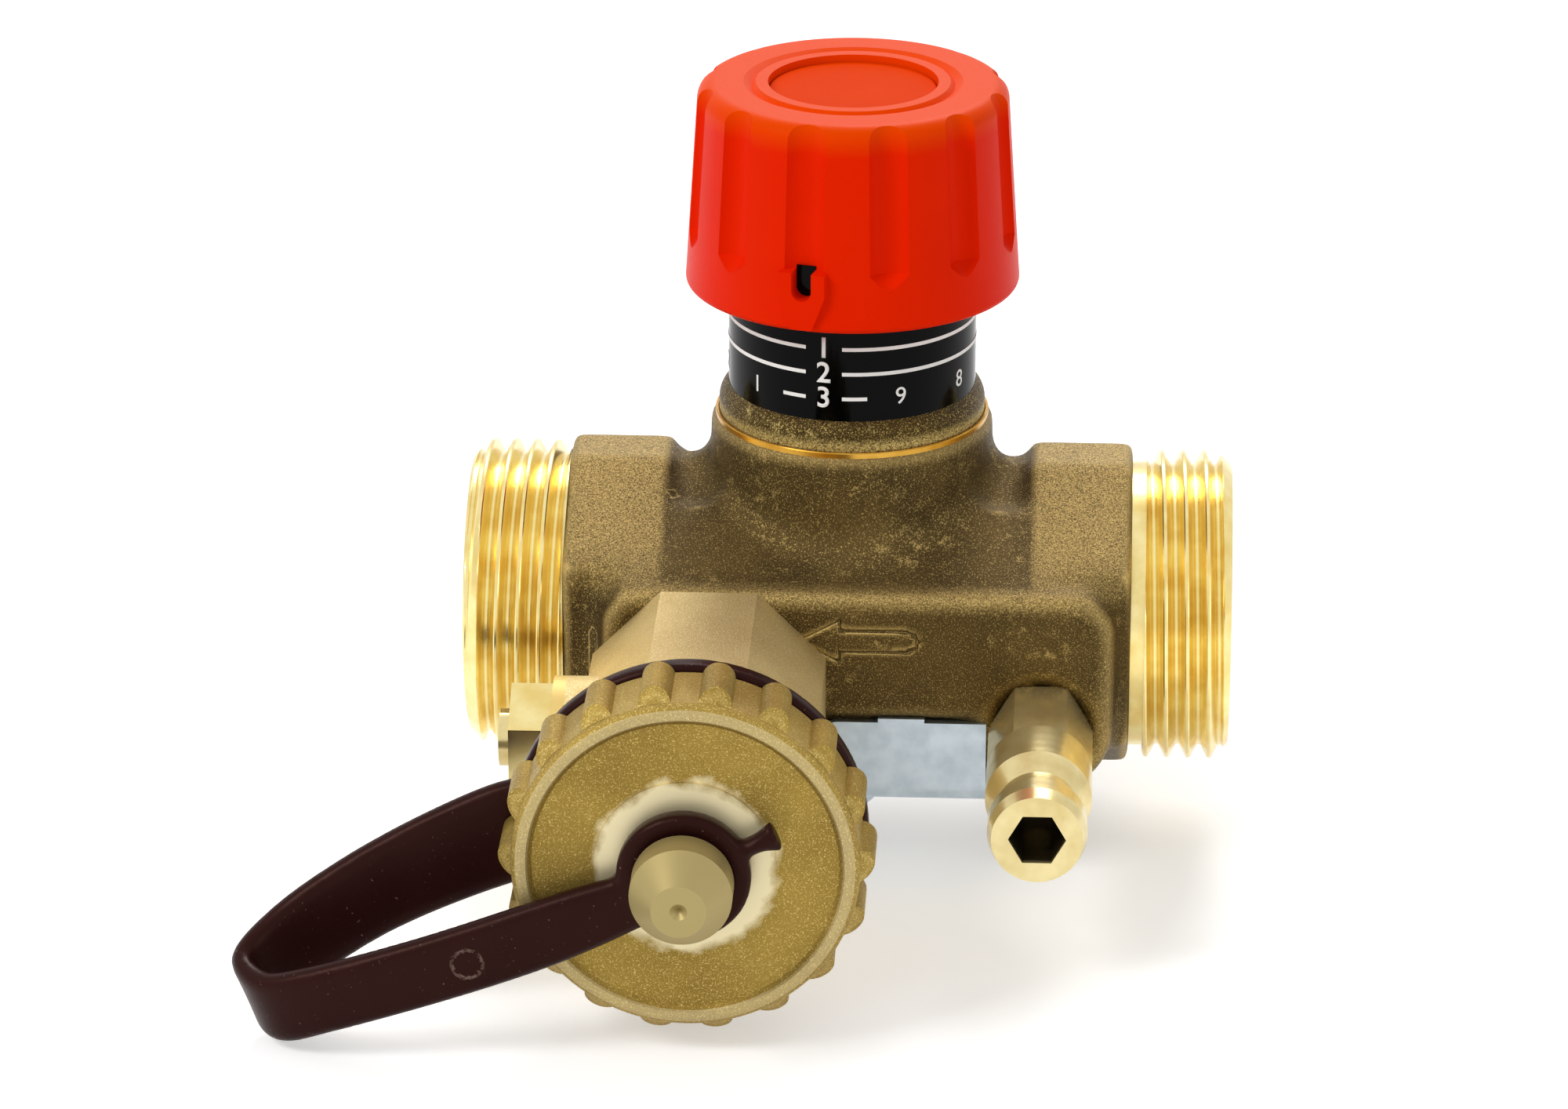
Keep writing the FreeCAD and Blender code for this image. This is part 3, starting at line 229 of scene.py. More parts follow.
def finish_of(name):
    """A new material with its tree, its shader and the object's coordinates."""
    item = bpy.data.materials.new(name)
    item.use_nodes = True
    tree = item.node_tree
    tree.nodes.clear()
    shader = add(tree, "ShaderNodeBsdfPrincipled")
    add(tree, "ShaderNodeOutputMaterial", {"Surface": shader})
    where = add(tree, "ShaderNodeTexCoord").outputs["Object"]
    return item, tree, shader, where


def per_mm(size):
    """The scale of a noise whose features are about this many millimetres across."""
    return 1.0 / (size * MM)


def away_from(tree, where, centre, axes=(1, 1, 1)):
    """The distance in metres from a centre given in millimetres, counted along the axes that are 1."""
    local = add(tree, "ShaderNodeMapping", {"Vector": where, "Scale": axes,
                                            "Location": [-v * s * MM for v, s in zip(centre, axes)]})
    return add(tree, "ShaderNodeVectorMath", {0: local}, operation="LENGTH").outputs["Value"]


def tinted(item, mask, colour):
    """Mixes another colour into a finish, where the mask function says."""
    tree = item.node_tree
    shader = next(n for n in tree.nodes if n.type == "BSDF_PRINCIPLED")
    where = add(tree, "ShaderNodeTexCoord").outputs["Object"]
    plain = shader.inputs["Base Color"].links[0].from_socket
    mixed = add(tree, "ShaderNodeMix", {0: mask(tree, where), 6: plain, 7: linear(colour)}, data_type="RGBA")
    fill(tree, shader, {"Base Color": mixed.outputs[2]})


print("scale of a 0.5 mm grain:", round(per_mm(0.5)))

# %% [markdown]
# ## Forged brass
# The body is forged brass, then tumbled but not plated. The forging skin is a dull olive brown with a fine sandy
# grain, in which countless points are struck through to the metal. Edges wear to a paler gold. Noise of 7 mm gives
# a slow change, noise of 0.13 mm the grain and noise of 1.3 mm the small flakes, while the mesh's own pointiness
# finds the edges. A mask paints highlights in that paler gold where the lamps catch high faces: the spanner
# shoulders' upper outer flats and the flat front's upper lip.

# %% Forged brass


def rubbed_places(tree, where):
    """One on the upper outer faces of the spanner shoulders and on the flat front's upper lip, where highlights are
    painted.
    """
    parts = add(tree, "ShaderNodeSeparateXYZ", {0: where})
    aside = add(tree, "ShaderNodeMath", {0: parts.outputs["X"]}, operation="ABSOLUTE")
    radius = away_from(tree, where, (0, 0, 0), (0, 1, 1))
    outward, proud, behind, front, high = [
        add(tree, "ShaderNodeMapRange", {"Value": value, "From Min": none * MM, "From Max": full * MM})
        for value, none, full in ((aside, 15.3, 16.0), (radius, 12.5, 13.2), (parts.outputs["Z"], 5.0, 9.0),
                                  (parts.outputs["Y"], -14.6, -15.8), (parts.outputs["Z"], 5.2, 6.4))]
    both = add(tree, "ShaderNodeMath", {0: outward, 1: proud}, operation="MULTIPLY")
    flats = add(tree, "ShaderNodeMath", {0: both, 1: behind}, operation="MULTIPLY")
    lip = add(tree, "ShaderNodeMath", {0: front, 1: high}, operation="MULTIPLY")
    return add(tree, "ShaderNodeMath", {0: flats, 1: lip}, operation="MAXIMUM")


def flange_lip(tree, where):
    """One at the lower edge of the bonnet's flange, fading upwards: a painted highlight."""
    parts = add(tree, "ShaderNodeSeparateXYZ", {0: where})
    return add(tree, "ShaderNodeMapRange", {"Value": parts.outputs["Z"], "From Min": 18.9 * MM, "From Max": 18.3 * MM,
                                            "To Max": 0.9})


PATCH, GRAIN, FLAKE, REGION = 7.0, 0.13, 1.3, 5.0


def forged_brass(name, dark, middle, speck, wear_and_highlight, amount, streaks=0.6, edges=0.8, highlight_mask=None):
    """Brass with its forging skin. amount sets how much of the surface the bright points take."""
    item, tree, shader, where = finish_of(name)
    patch = add(tree, "ShaderNodeTexNoise", {"Vector": where, "Scale": per_mm(PATCH), "Detail": 3.0})
    fine = add(tree, "ShaderNodeTexNoise", {"Vector": where, "Scale": per_mm(GRAIN), "Detail": 4.0, "Roughness": 0.65})
    flake = add(tree, "ShaderNodeTexNoise", {"Vector": where, "Scale": per_mm(FLAKE), "Detail": 8.0,
                                             "Roughness": 0.8, "Distortion": 0.3})
    region = add(tree, "ShaderNodeTexNoise", {"Vector": where, "Scale": per_mm(REGION), "Detail": 1.0})
    edge = add(tree, "ShaderNodeNewGeometry").outputs["Pointiness"]
    patchy, hit, struck, there, grit, ridge, sane, worn_grit = [
        add(tree, "ShaderNodeMapRange", {"Value": value, "From Min": start, "From Max": end, "To Min": low,
                                         "To Max": high})
        for value, start, end, low, high in (
            (patch, 0.3, 0.7, 0.0, 1.0), (fine, 0.56 - amount, 0.7 - amount, 0.0, 0.95),
            (flake, 0.54, 0.6, 0.0, 1.0), (region, 0.5, 0.6, 0.0, streaks), (fine, 0.4, 0.55, 0.0, 1.0),
            (edge, 0.506, 0.54, 0.0, edges), (edge, 0.55, 0.57, 1.0, 0.0), (fine, 0.36, 0.52, 0.35, 1.0))]
    skin = add(tree, "ShaderNodeMix", {0: patchy, 6: linear(dark), 7: linear(middle)}, data_type="RGBA")
    specked = add(tree, "ShaderNodeMix", {0: hit, 6: skin.outputs[2], 7: linear(speck)}, data_type="RGBA")
    flaked = add(tree, "ShaderNodeMath", {0: struck, 1: grit}, operation="MULTIPLY")
    spots = add(tree, "ShaderNodeMath", {0: flaked, 1: there}, operation="MULTIPLY")
    kept = add(tree, "ShaderNodeMath", {0: ridge, 1: sane}, operation="MULTIPLY")
    rub = add(tree, "ShaderNodeMath", {0: kept, 1: worn_grit}, operation="MULTIPLY")
    bare = add(tree, "ShaderNodeMath", {0: spots, 1: rub}, operation="MAXIMUM")
    # The mask's places get painted highlights in the pale gold, broken up by the grain.
    if highlight_mask:
        broad = add(tree, "ShaderNodeMapRange", {"Value": fine, "From Min": 0.36, "From Max": 0.58, "To Max": 0.72})
        shown = add(tree, "ShaderNodeMath", {0: broad, 1: highlight_mask(tree, where)}, operation="MULTIPLY")
        bare = add(tree, "ShaderNodeMath", {0: bare, 1: shown}, operation="MAXIMUM")
    colour = add(tree, "ShaderNodeMix", {0: bare, 6: specked.outputs[2], 7: linear(wear_and_highlight)}, data_type="RGBA")
    rough = add(tree, "ShaderNodeMapRange", {"Value": hit, "To Min": 0.5, "To Max": 0.36})
    pits = add(tree, "ShaderNodeBump", {"Strength": 0.8, "Distance": 0.08 * MM, "Height": fine})
    soft = add(tree, "ShaderNodeBump", {"Strength": 0.3, "Distance": 0.25 * MM, "Height": flake, "Normal": pits})
    fill(tree, shader, {"Base Color": colour.outputs[2], "Roughness": rough, "Normal": soft, "Metallic": 0.9})
    return item


# The body's mask paints highlights on its shoulders' upper flats and on its flat front's lip.
body_skin = forged_brass("forged_brass_skin", "#3C2F17", "#5A4825", "#B89E60", "#C4A868", 0.02, 0.7, 0.85,
                         rubbed_places)
# The bonnet's skin is painted darker as shade under the black sleeve, and its flange's lower edge paler as a painted
# highlight.
bonnet_skin_and_shade = forged_brass("forged_brass_shaded_bonnet", "#33270F", "#4A3919", "#B89E5C", "#DCC27A", 0.03, 0.6, 0.0,
                           flange_lip)
cock_skin = forged_brass("forged_brass_sandy", "#CAB072", "#DFC687", "#F6E8BC", "#F2E0AA", 0.06, 0.2, 0.25)
print("forged finishes:", body_skin.name, bonnet_skin_and_shade.name, cock_skin.name)

# %% [markdown]
# ## Turned brass
# Threads, the nipple and the cap's pin are cut on a lathe, which leaves bright metal with fine rings. The rings are
# really a few hundredths of a millimetre apart, too fine to show, so they are drawn as soft waves about 1.4 mm apart.
# On a face they run round the axis, on a cylinder along it, so the height is the sum of both patterns. A wave texture
# turns by WAVE_RATE radians in a unit, and here by one radian in each pitch.

# %% Turned brass
WAVE_RATE = 20


def turned_brass(name, colour, shade, centre=(0, 0, 0), axis="X", pitch=0.22, rough=0.2, metal=1.0):
    """Bright brass with lathe rings round the axis through centre, in millimetres. Their distance is tau * pitch."""
    item, tree, shader, where = finish_of(name)
    local = add(tree, "ShaderNodeMapping", {"Vector": where, "Location": [-v * MM for v in centre]})
    wave = {"Vector": local, "Scale": per_mm(pitch) / WAVE_RATE, "Distortion": 0.4}
    rings = add(tree, "ShaderNodeTexWave", wave, wave_type="RINGS", rings_direction=axis)
    bands = add(tree, "ShaderNodeTexWave", wave, wave_type="BANDS", bands_direction=axis)
    height = add(tree, "ShaderNodeMath", {0: rings.outputs["Fac"], 1: bands.outputs["Fac"]}, operation="ADD")
    stain = add(tree, "ShaderNodeTexNoise", {"Vector": where, "Scale": per_mm(2.5), "Detail": 3.0})
    tint = add(tree, "ShaderNodeMapRange", {"Value": stain, "From Min": 0.35, "From Max": 0.7})
    mix = add(tree, "ShaderNodeMix", {0: tint, 6: linear(colour), 7: linear(shade)}, data_type="RGBA")
    bump = add(tree, "ShaderNodeBump", {"Strength": 0.25, "Distance": 0.012 * MM, "Height": height})
    gloss = add(tree, "ShaderNodeMapRange", {"Value": stain, "To Min": rough - 0.05, "To Max": rough + 0.1})
    fill(tree, shader, {"Base Color": mix.outputs[2], "Roughness": gloss, "Normal": bump, "Metallic": metal})
    return item


DRAIN_AXIS = (-11.3, 0, -2.8)
NIPPLE_AXIS = (16.6, 0, -5.1)
thread_brass = turned_brass("turned_brass_thread", "#F5E3A2", "#E6CB7E")
nipple_brass = turned_brass("turned_brass_nipple", "#E8D8A0", "#D4BE80", NIPPLE_AXIS, "Y", metal=0.75)
pin_brass = turned_brass("turned_brass_pin", "#A39260", "#917D46", DRAIN_AXIS, "Y", 0.3, 0.26)
neck_brass = turned_brass("turned_brass_upright", "#C99A40", "#A97722", (0, 0, 0), "Z")
print("turned finishes:", thread_brass.name, nipple_brass.name, pin_brass.name, neck_brass.name)

# %% [markdown]
# The key socket in the nipple's face is deep and narrow, so little light gets in, and it is painted nearly black as
# shade. Its walls belong to the same solid as the bright nipple. A mask from the object's coordinates finds them: near
# the nipple's axis and behind its face, where the finish fades to the painted shade over half a millimetre.

# %% Painted shade in the key socket
SOCKET_REACH, SOCKET_MOUTH = 2.45, -38.45
SHADE_FADE = 0.5


def inside_socket(tree, where):
    """One inside the nipple's key socket, where shade is painted."""
    parts = add(tree, "ShaderNodeSeparateXYZ", {0: where})
    radius = away_from(tree, where, NIPPLE_AXIS, (1, 0, 1))
    near = add(tree, "ShaderNodeMath", {0: radius, 1: SOCKET_REACH * MM}, operation="LESS_THAN")
    deep = add(tree, "ShaderNodeMapRange", {"Value": parts.outputs["Y"], "From Min": SOCKET_MOUTH * MM,
                                            "From Max": (SOCKET_MOUTH + SHADE_FADE) * MM, "To Max": 0.93})
    return add(tree, "ShaderNodeMath", {0: near, 1: deep}, operation="MULTIPLY")


# The socket's walls get a dark brown painted shade.
tinted(nipple_brass, inside_socket, "#2A1A08")
print("painted_shade starts", round(-SOCKET_MOUTH, 2), "mm out on the nipple's axis")

# %% [markdown]
# ## Moulded plastics
# The handwheel is glass-filled polyamide in orange red, with a satin skin from the eroded mould. The scale sleeve is
# black and glossy, and the strap a soft dark brown polyethylene. A moulded skin is a very fine grain in the bump and
# a slight change in gloss, with almost no change in colour.

# %% Moulded plastics


def moulded(name, colour, deeper, rough, grain=0.35, relief=0.02, gleam=0.3, cast="#FFFFFF"):
    """A moulded plastic with its fine mould grain, in millimetres. gleam is its specular level, cast its colour."""
    item, tree, shader, where = finish_of(name)
    cloud = add(tree, "ShaderNodeTexNoise", {"Vector": where, "Scale": per_mm(7.0), "Detail": 2.0})
    mix = add(tree, "ShaderNodeMix", {0: cloud, 6: linear(colour), 7: linear(deeper)}, data_type="RGBA")
    fine = add(tree, "ShaderNodeTexNoise", {"Vector": where, "Scale": per_mm(grain), "Detail": 3.0})
    bump = add(tree, "ShaderNodeBump", {"Strength": 0.4, "Distance": relief * MM, "Height": fine})
    gloss = add(tree, "ShaderNodeMapRange", {"Value": fine, "To Min": rough - 0.06, "To Max": rough + 0.06})
    fill(tree, shader, {"Base Color": mix.outputs[2], "Roughness": gloss, "Normal": bump,
                        "Specular IOR Level": gleam, "Specular Tint": linear(cast)})
    return item


wheel_red = moulded("satin_red_polyamide", "#F02600", "#E62000", 0.42, 0.3, 0.03, 0.09, "#FF7A4A")
disc_red = moulded("smooth_red_polyamide", "#EC4400", "#E43C00", 0.40, 0.5, 0.01, 0.01, "#FF7A4A")
sleeve_black = moulded("glossy_black_polyamide", "#030303", "#050505", 0.10, 0.6, 0.006, 0.06)
strap_brown = moulded("dark_brown_polyethylene", "#200B0A", "#2F1513", 0.34, 0.4, 0.03, 0.12, "#FFC8B4")
EJECTOR = (-28.6, -52.2, -10.4)
EJECTOR_RING = 1.9
RING_HALF = 0.12


def wheel_top(tree, where):
    """One on the handwheel's top, which is painted paler as a highlight."""
    parts = add(tree, "ShaderNodeSeparateXYZ", {0: where})
    return add(tree, "ShaderNodeMapRange", {"Value": parts.outputs["Z"], "From Min": 44.2 * MM, "From Max": 46.6 * MM,
                                            "To Max": 0.8})


def scuffs(tree, where):
    """The broken ring that a mould's ejector pin leaves on the strap, and specks of dust."""
    radius = away_from(tree, where, EJECTOR)
    ragged = add(tree, "ShaderNodeTexNoise", {"Vector": where, "Scale": per_mm(0.5), "Detail": 5.0, "Roughness": 0.7})
    loose = add(tree, "ShaderNodeMath", {0: ragged, 1: 0.7 * MM, 2: radius}, operation="MULTIPLY_ADD")
    ring = add(tree, "ShaderNodeMath", {0: loose, 1: EJECTOR_RING * MM, 2: RING_HALF * MM}, operation="COMPARE")
    broken = add(tree, "ShaderNodeMapRange", {"Value": ragged, "From Min": 0.42, "From Max": 0.6, "To Max": 0.6})
    line = add(tree, "ShaderNodeMath", {0: ring, 1: broken}, operation="MULTIPLY")
    dust = add(tree, "ShaderNodeTexNoise", {"Vector": where, "Scale": per_mm(0.3), "Detail": 2.0})
    specks = add(tree, "ShaderNodeMapRange", {"Value": dust, "From Min": 0.71, "From Max": 0.76, "To Max": 0.5})
    return add(tree, "ShaderNodeMath", {0: line, 1: specks}, operation="MAXIMUM")


# The handwheel's top gets a paler orange painted highlight.
tinted(wheel_red, wheel_top, "#F25000")
tinted(strap_brown, scuffs, "#8A7468")
scale_white = moulded("white_print", "#FAFAF8", "#F2F2F0", 0.5, 0.3, 0.004)
seal_black = moulded("black_nitrile_rubber", "#17171A", "#222226", 0.62, 0.3, 0.02)
seat_white = moulded("white_ptfe", "#ECE9E0", "#DEDBD0", 0.38, 0.4, 0.01)
print("moulded finishes:", wheel_red.name, sleeve_black.name, strap_brown.name)

# %% [markdown]
# ## Steel and chrome
# The lock plate is punched sheet with pale blue passivated zinc, which has a faint cloudy mottle. Screws and spring
# are plain steel, and the drain's ball is chromed. All three are one recipe with other colours and gloss.

# %% Plated steel


def plated(name, colour, shade, rough, cloud=1.2):
    """Plated or plain steel with a soft mottle, in millimetres."""
    item, tree, shader, where = finish_of(name)
    mottle = add(tree, "ShaderNodeTexNoise", {"Vector": where, "Scale": per_mm(cloud), "Detail": 4.0})
    tint = add(tree, "ShaderNodeMapRange", {"Value": mottle, "From Min": 0.35, "From Max": 0.65})
    mix = add(tree, "ShaderNodeMix", {0: tint, 6: linear(colour), 7: linear(shade)}, data_type="RGBA")
    gloss = add(tree, "ShaderNodeMapRange", {"Value": tint, "To Min": rough, "To Max": rough + 0.12})
    bump = add(tree, "ShaderNodeBump", {"Strength": 0.3, "Distance": 0.01 * MM, "Height": mottle})
    fill(tree, shader, {"Base Color": mix.outputs[2], "Roughness": gloss, "Normal": bump, "Metallic": 1.0})
    return item


zinc = plated("blue_zinc_plate", "#C6D2DB", "#B7C5D0", 0.3, 1.6)
steel = plated("plain_steel", "#B9B6B0", "#98958F", 0.32)
chrome = plated("hard_chrome", "#D8D9DA", "#C8C9CB", 0.08)
print("plated finishes:", zinc.name, steel.name, chrome.name)

# %% [markdown]
# ## Two finishes on one part
# The drain cock and its cap are forged, and then turned only where they must be round. One mesh can carry both
# finishes: a mask made from the object's own coordinates picks the turned region. On the cock it is a hard step, as
# the lathe tool leaves a crisp border. On the cap the border is ragged, where the forging ran out of true.

# %% Finishes that meet at a turned border


def forged_then_turned(name, skin, turned, limit, core=None):
    """A forged finish that turns bright round the drain's axis, where the limit function says.

    core is the radius in millimetres and the colour of a duller middle.
    """
    item = skin.copy()
    item.name = name
    tree = item.node_tree
    output = next(n for n in tree.nodes if n.type == "OUTPUT_MATERIAL")
    forged_shader = next(n for n in tree.nodes if n.type == "BSDF_PRINCIPLED")
    where = add(tree, "ShaderNodeTexCoord").outputs["Object"]
    local = add(tree, "ShaderNodeMapping", {"Vector": where, "Location": [-v * MM for v in DRAIN_AXIS]})
    rings = add(tree, "ShaderNodeTexWave", {"Vector": local, "Scale": per_mm(0.35) / WAVE_RATE, "Distortion": 0.6},
                wave_type="RINGS", rings_direction="Y")
    lines = add(tree, "ShaderNodeBump", {"Strength": 0.4, "Distance": 0.02 * MM, "Height": rings.outputs["Fac"]})
    bright = add(tree, "ShaderNodeBsdfPrincipled", {"Base Color": linear(turned), "Roughness": 0.5,
                                                    "Normal": lines, "Metallic": 0.6})
    if core:
        radius = away_from(tree, where, DRAIN_AXIS, (1, 0, 1))
        outer = add(tree, "ShaderNodeMath", {0: radius, 1: core[0] * MM}, operation="GREATER_THAN")
        shade = add(tree, "ShaderNodeMix", {0: outer, 6: linear(core[1]), 7: linear(turned)}, data_type="RGBA")
        fill(tree, bright, {"Base Color": shade.outputs[2]})
    both = add(tree, "ShaderNodeMixShader", {0: limit(tree, where), 1: forged_shader, 2: bright})
    fill(tree, output, {"Surface": both})
    return item


COCK_FRONT, COCK_STUB = -39.4, -22.6


def beyond_collar(tree, where):
    """One where the drain cock is turned: in front of its octagon, and past its branch's forged stub."""
    parts = add(tree, "ShaderNodeSeparateXYZ", {0: where})
    front = add(tree, "ShaderNodeMath", {0: parts.outputs["Y"], 1: COCK_FRONT * MM}, operation="LESS_THAN")
    side = add(tree, "ShaderNodeMath", {0: parts.outputs["X"], 1: COCK_STUB * MM}, operation="LESS_THAN")
    return add(tree, "ShaderNodeMath", {0: front, 1: side}, operation="MAXIMUM")


def inside_dish(tree, where):
    """One where the cap is bright: its pin and its boss with a ragged border, and a little on its rim's ridge, as wear
    and painted highlight.
    """
    radius = away_from(tree, where, DRAIN_AXIS, (1, 0, 1))
    ragged = add(tree, "ShaderNodeTexNoise", {"Vector": where, "Scale": per_mm(2.0), "Detail": 4.0})
    edge = add(tree, "ShaderNodeMath", {0: ragged, 1: 2.4 * MM, 2: radius}, operation="MULTIPLY_ADD")
    dish = add(tree, "ShaderNodeMapRange", {"Value": edge, "From Min": 8.0 * MM, "From Max": 9.0 * MM,
                                            "To Min": 1.0, "To Max": 0.0})
    parts = add(tree, "ShaderNodeSeparateXYZ", {0: where})
    front = add(tree, "ShaderNodeMath", {0: parts.outputs["Y"], 1: -49.9 * MM}, operation="LESS_THAN")
    # The ridge gets a little of the bright finish, partly as wear and partly as a painted highlight on its rounded
    # edge.
    ridge = add(tree, "ShaderNodeMath", {0: radius, 1: 13.1 * MM, 2: 0.5 * MM}, operation="COMPARE")
    wear_and_highlight = add(tree, "ShaderNodeMath", {0: front, 1: ridge}, operation="MULTIPLY")
    highlight_mask = add(tree, "ShaderNodeMath", {0: wear_and_highlight, 1: 0.25}, operation="MULTIPLY")
    return add(tree, "ShaderNodeMath", {0: dish, 1: highlight_mask}, operation="MAXIMUM")


cock_finish = forged_then_turned("forged_cock_turned_front", cock_skin, "#E3C67A", beyond_collar)
cap_sand = forged_brass("forged_brass_cap", "#8A7032", "#A2873E", "#D8BF72", "#E4CC84", 0.03, 0.15, 0.2)
cap_finish = forged_then_turned("forged_cap_turned_boss", cap_sand, "#F2E4B8", inside_dish, (4.9, "#AE9C66"))
print("two-part finishes:", cock_finish.name, cap_finish.name)

# %% [markdown]
# ## Dressing the solids
# Most CAD solids already have the right shape. They keep it, and only their material slots are filled.

# %% Finishes for the solids
FINISHES = {
    "valve_body": body_skin, "bonnet": bonnet_skin_and_shade, "bonnet_o_ring": seal_black,
    "spindle_o_ring_upper": seal_black, "spindle_o_ring_lower": seal_black, "spindle": neck_brass,
    "valve_cone": neck_brass, "cone_seal": seal_black, "cone_clip": steel, "scale_sleeve": sleeve_black,
    "handwheel": wheel_red, "handwheel_insert": disc_red, "handwheel_screw": steel, "drain_body": cock_finish,
    "drain_body_o_ring": seal_black, "drain_ball": chrome, "ball_seat_inner": seat_white,
    "ball_seat_outer": seat_white, "ball_retainer": pin_brass, "drain_stem": nipple_brass,
    "drain_stem_o_ring": seal_black, "drain_gland_nut": thread_brass, "drain_cap": cap_finish,
    "cap_gasket": seal_black, "retaining_strap": strap_brown, "test_nipple": nipple_brass,
    "nipple_o_ring": seal_black, "nipple_poppet": pin_brass, "nipple_spring": steel, "lock_plate": zinc,
    "lock_screw": zinc,
}
for name, solid in frame["nodes"].items():
    for slot in solid.material_slots:
        slot.link = "OBJECT"
        slot.material = FINISHES[name]
print("dressed", len(FINISHES), "solids")

# %% [markdown]
# ## Pieces made here
# The other pieces are made in this lesson, and all in the same way: an empty object, a mesh that is built or changed
# while it is open, and a finish. Many are rings of vertices joined by faces. These helpers do what they share.

# %% Helpers for pieces
RING_STEPS, ROUND_STEPS = 96, 144
ROUND_TURNS = [math.tau * i / ROUND_STEPS for i in range(ROUND_STEPS)]
SHARP = math.radians(25)


def new_piece(name, data=None):
    """A new object in the scene, with an empty mesh if it gets no other data."""
    piece = bpy.data.objects.new(name, data or bpy.data.meshes.new(name))
    scene.collection.objects.link(piece)
    return piece


def shape_of(piece):
    """What an object's modifiers or curves come to, as a new mesh."""
    bpy.context.view_layer.update()
    return bpy.data.meshes.new_from_object(piece.evaluated_get(bpy.context.evaluated_depsgraph_get()))


def baked(piece):
    """Turns an object's modifiers into its plain mesh."""
    mesh = shape_of(piece)
    piece.modifiers.clear()
    piece.data = mesh
    return mesh


def join_rings(form, rings, ends):
    """Faces between neighbouring rings of vertices, whose two ends stay "open", are "capped" or are "joined"."""
    for one, two in zip(rings, rings[1:] + rings[:1] if ends == "joined" else rings[1:]):
        for i in range(len(one)):
            j = (i + 1) % len(one)
            form.faces.new((one[i], one[j], two[j], two[i]))
    if ends == "capped":
        form.faces.new(rings[0][::-1])
        form.faces.new(rings[-1])
    return rings


def close_form(form, mesh):
    """Turns the faces of an open form outwards and writes it into a mesh."""
    bmesh.ops.recalc_face_normals(form, faces=form.faces)
    form.to_mesh(mesh)
    form.free()


def coat(mesh, finish, smooth=False):
    """Gives a whole mesh one finish."""
    if smooth:
        mesh.shade_smooth()
    mesh.materials.clear()
    mesh.materials.append(finish)


print("sharp edges from", round(math.degrees(SHARP)), "degrees")

# %% [markdown]
# ## The forged body
# A forging has no sharp inner corner: the metal flows round every one, and the edges of the dies are eased too. The
# solid has the right forms with hard joints between them. So its copy is turned into an even skin of small cells,
# swollen by 1.5 mm, skinned again and let back by as much. Outer forms return to their places while the inner
# corners stay filled with a round of that radius. A last skin makes the cells even again, and light smoothing eases
# the edges. The threaded ends are cut off first, because they are made apart. Between the neck and the flat front the
# metal runs down in a sloping shelf that fades out towards the shoulders, so a bar of that form is added before the
# skin is made.

# %% Forged body
END_CUT = 24.02 * MM
CELL = 0.36 * MM
FILL_ROUND = 1.5 * MM
TOUCHING = 1e-7
SHELF = ((-19.0, 0.15), (-16.0, 0.8), (-12.5, 1.0), (12.5, 1.0), (17.0, 0.8), (20.0, 0.15))


def shelf(form):
    """Adds the sloping shelf as a closed bar whose height s fades at both ends, in millimetres."""
    rings = []
    for x, s in SHELF:
        outline = ((-16.2, 5.0), (-16.2, 6.2), (-15.7, 6.7), (-7.0, 6.7 + 4.9 * s), (-7.0, 5.0))
        rings.append([form.verts.new(Vector((x, y, z)) * MM) for y, z in outline])
    join_rings(form, rings, "capped")


forged_body = new_piece("forged_body")
form = bmesh.new()
form.from_mesh(frame["nodes"]["valve_body"].data)
bmesh.ops.remove_doubles(form, verts=form.verts, dist=TOUCHING)
for side in (-1, 1):
    cut = bmesh.ops.bisect_plane(form, geom=form.verts[:] + form.edges[:] + form.faces[:], dist=TOUCHING,
                                 plane_co=(side * END_CUT, 0, 0), plane_no=(side, 0, 0), clear_outer=True)
    rims = [item for item in cut["geom_cut"] if isinstance(item, bmesh.types.BMEdge)]
    bmesh.ops.bridge_loops(form, edges=rims)
shelf(form)
close_form(form, forged_body.data)

for step, size in (("skin", 0), ("swell", FILL_ROUND), ("skin_again", 0), ("settle", -FILL_ROUND),
                   ("skin_last", 0)):
    if size:
        change = forged_body.modifiers.new(step, "DISPLACE")
        change.mid_level = 0.0
        change.strength = size
    else:
        change = forged_body.modifiers.new(step, "REMESH")
        change.mode = "VOXEL"
        change.voxel_size = CELL
ease = forged_body.modifiers.new("ease", "SMOOTH")
ease.factor = 0.5
ease.iterations = 9
mesh = baked(forged_body)
print("forged body:", len(mesh.polygons), "faces")

# %% [markdown]
# ## The flow arrow
# The die leaves the outline of an arrow in the flat front, pointing with the flow. A closed line with a round
# section lies half in the surface, and cutting it away leaves a shallow groove. The line's radius is the groove's
# half width. The same cut clears a round room over the seat, where the cone's seal comes to rest.

# %% Flow arrow
PAD_FACE = -16.5
GROOVE_HALF = 0.14
SEAL_ROOM = 7.6
ROOM_BOTTOM, ROOM_TOP = 0.85, 3.2
ARROW = ((-3.8, 2.8), (-0.3, 4.7), (-0.3, 3.75), (5.2, 3.75), (5.95, 3.45), (6.25, 2.8), (5.95, 2.15),
         (5.2, 1.85), (-0.3, 1.85), (-0.3, 0.9))
line = bpy.data.curves.new("arrow_line", "CURVE")
line.dimensions = "3D"
line.bevel_depth = GROOVE_HALF * MM
line.bevel_resolution = 2
route = line.splines.new("POLY")
route.points.add(len(ARROW) - 1)
for point, (x, z) in zip(route.points, ARROW):
    point.co = (x * MM, PAD_FACE * MM, z * MM, 1)
route.use_cyclic_u = True
arrow_line = new_piece("arrow_line", line)
tube = shape_of(arrow_line)
bpy.data.objects.remove(arrow_line)
form = bmesh.new()
form.from_mesh(tube)
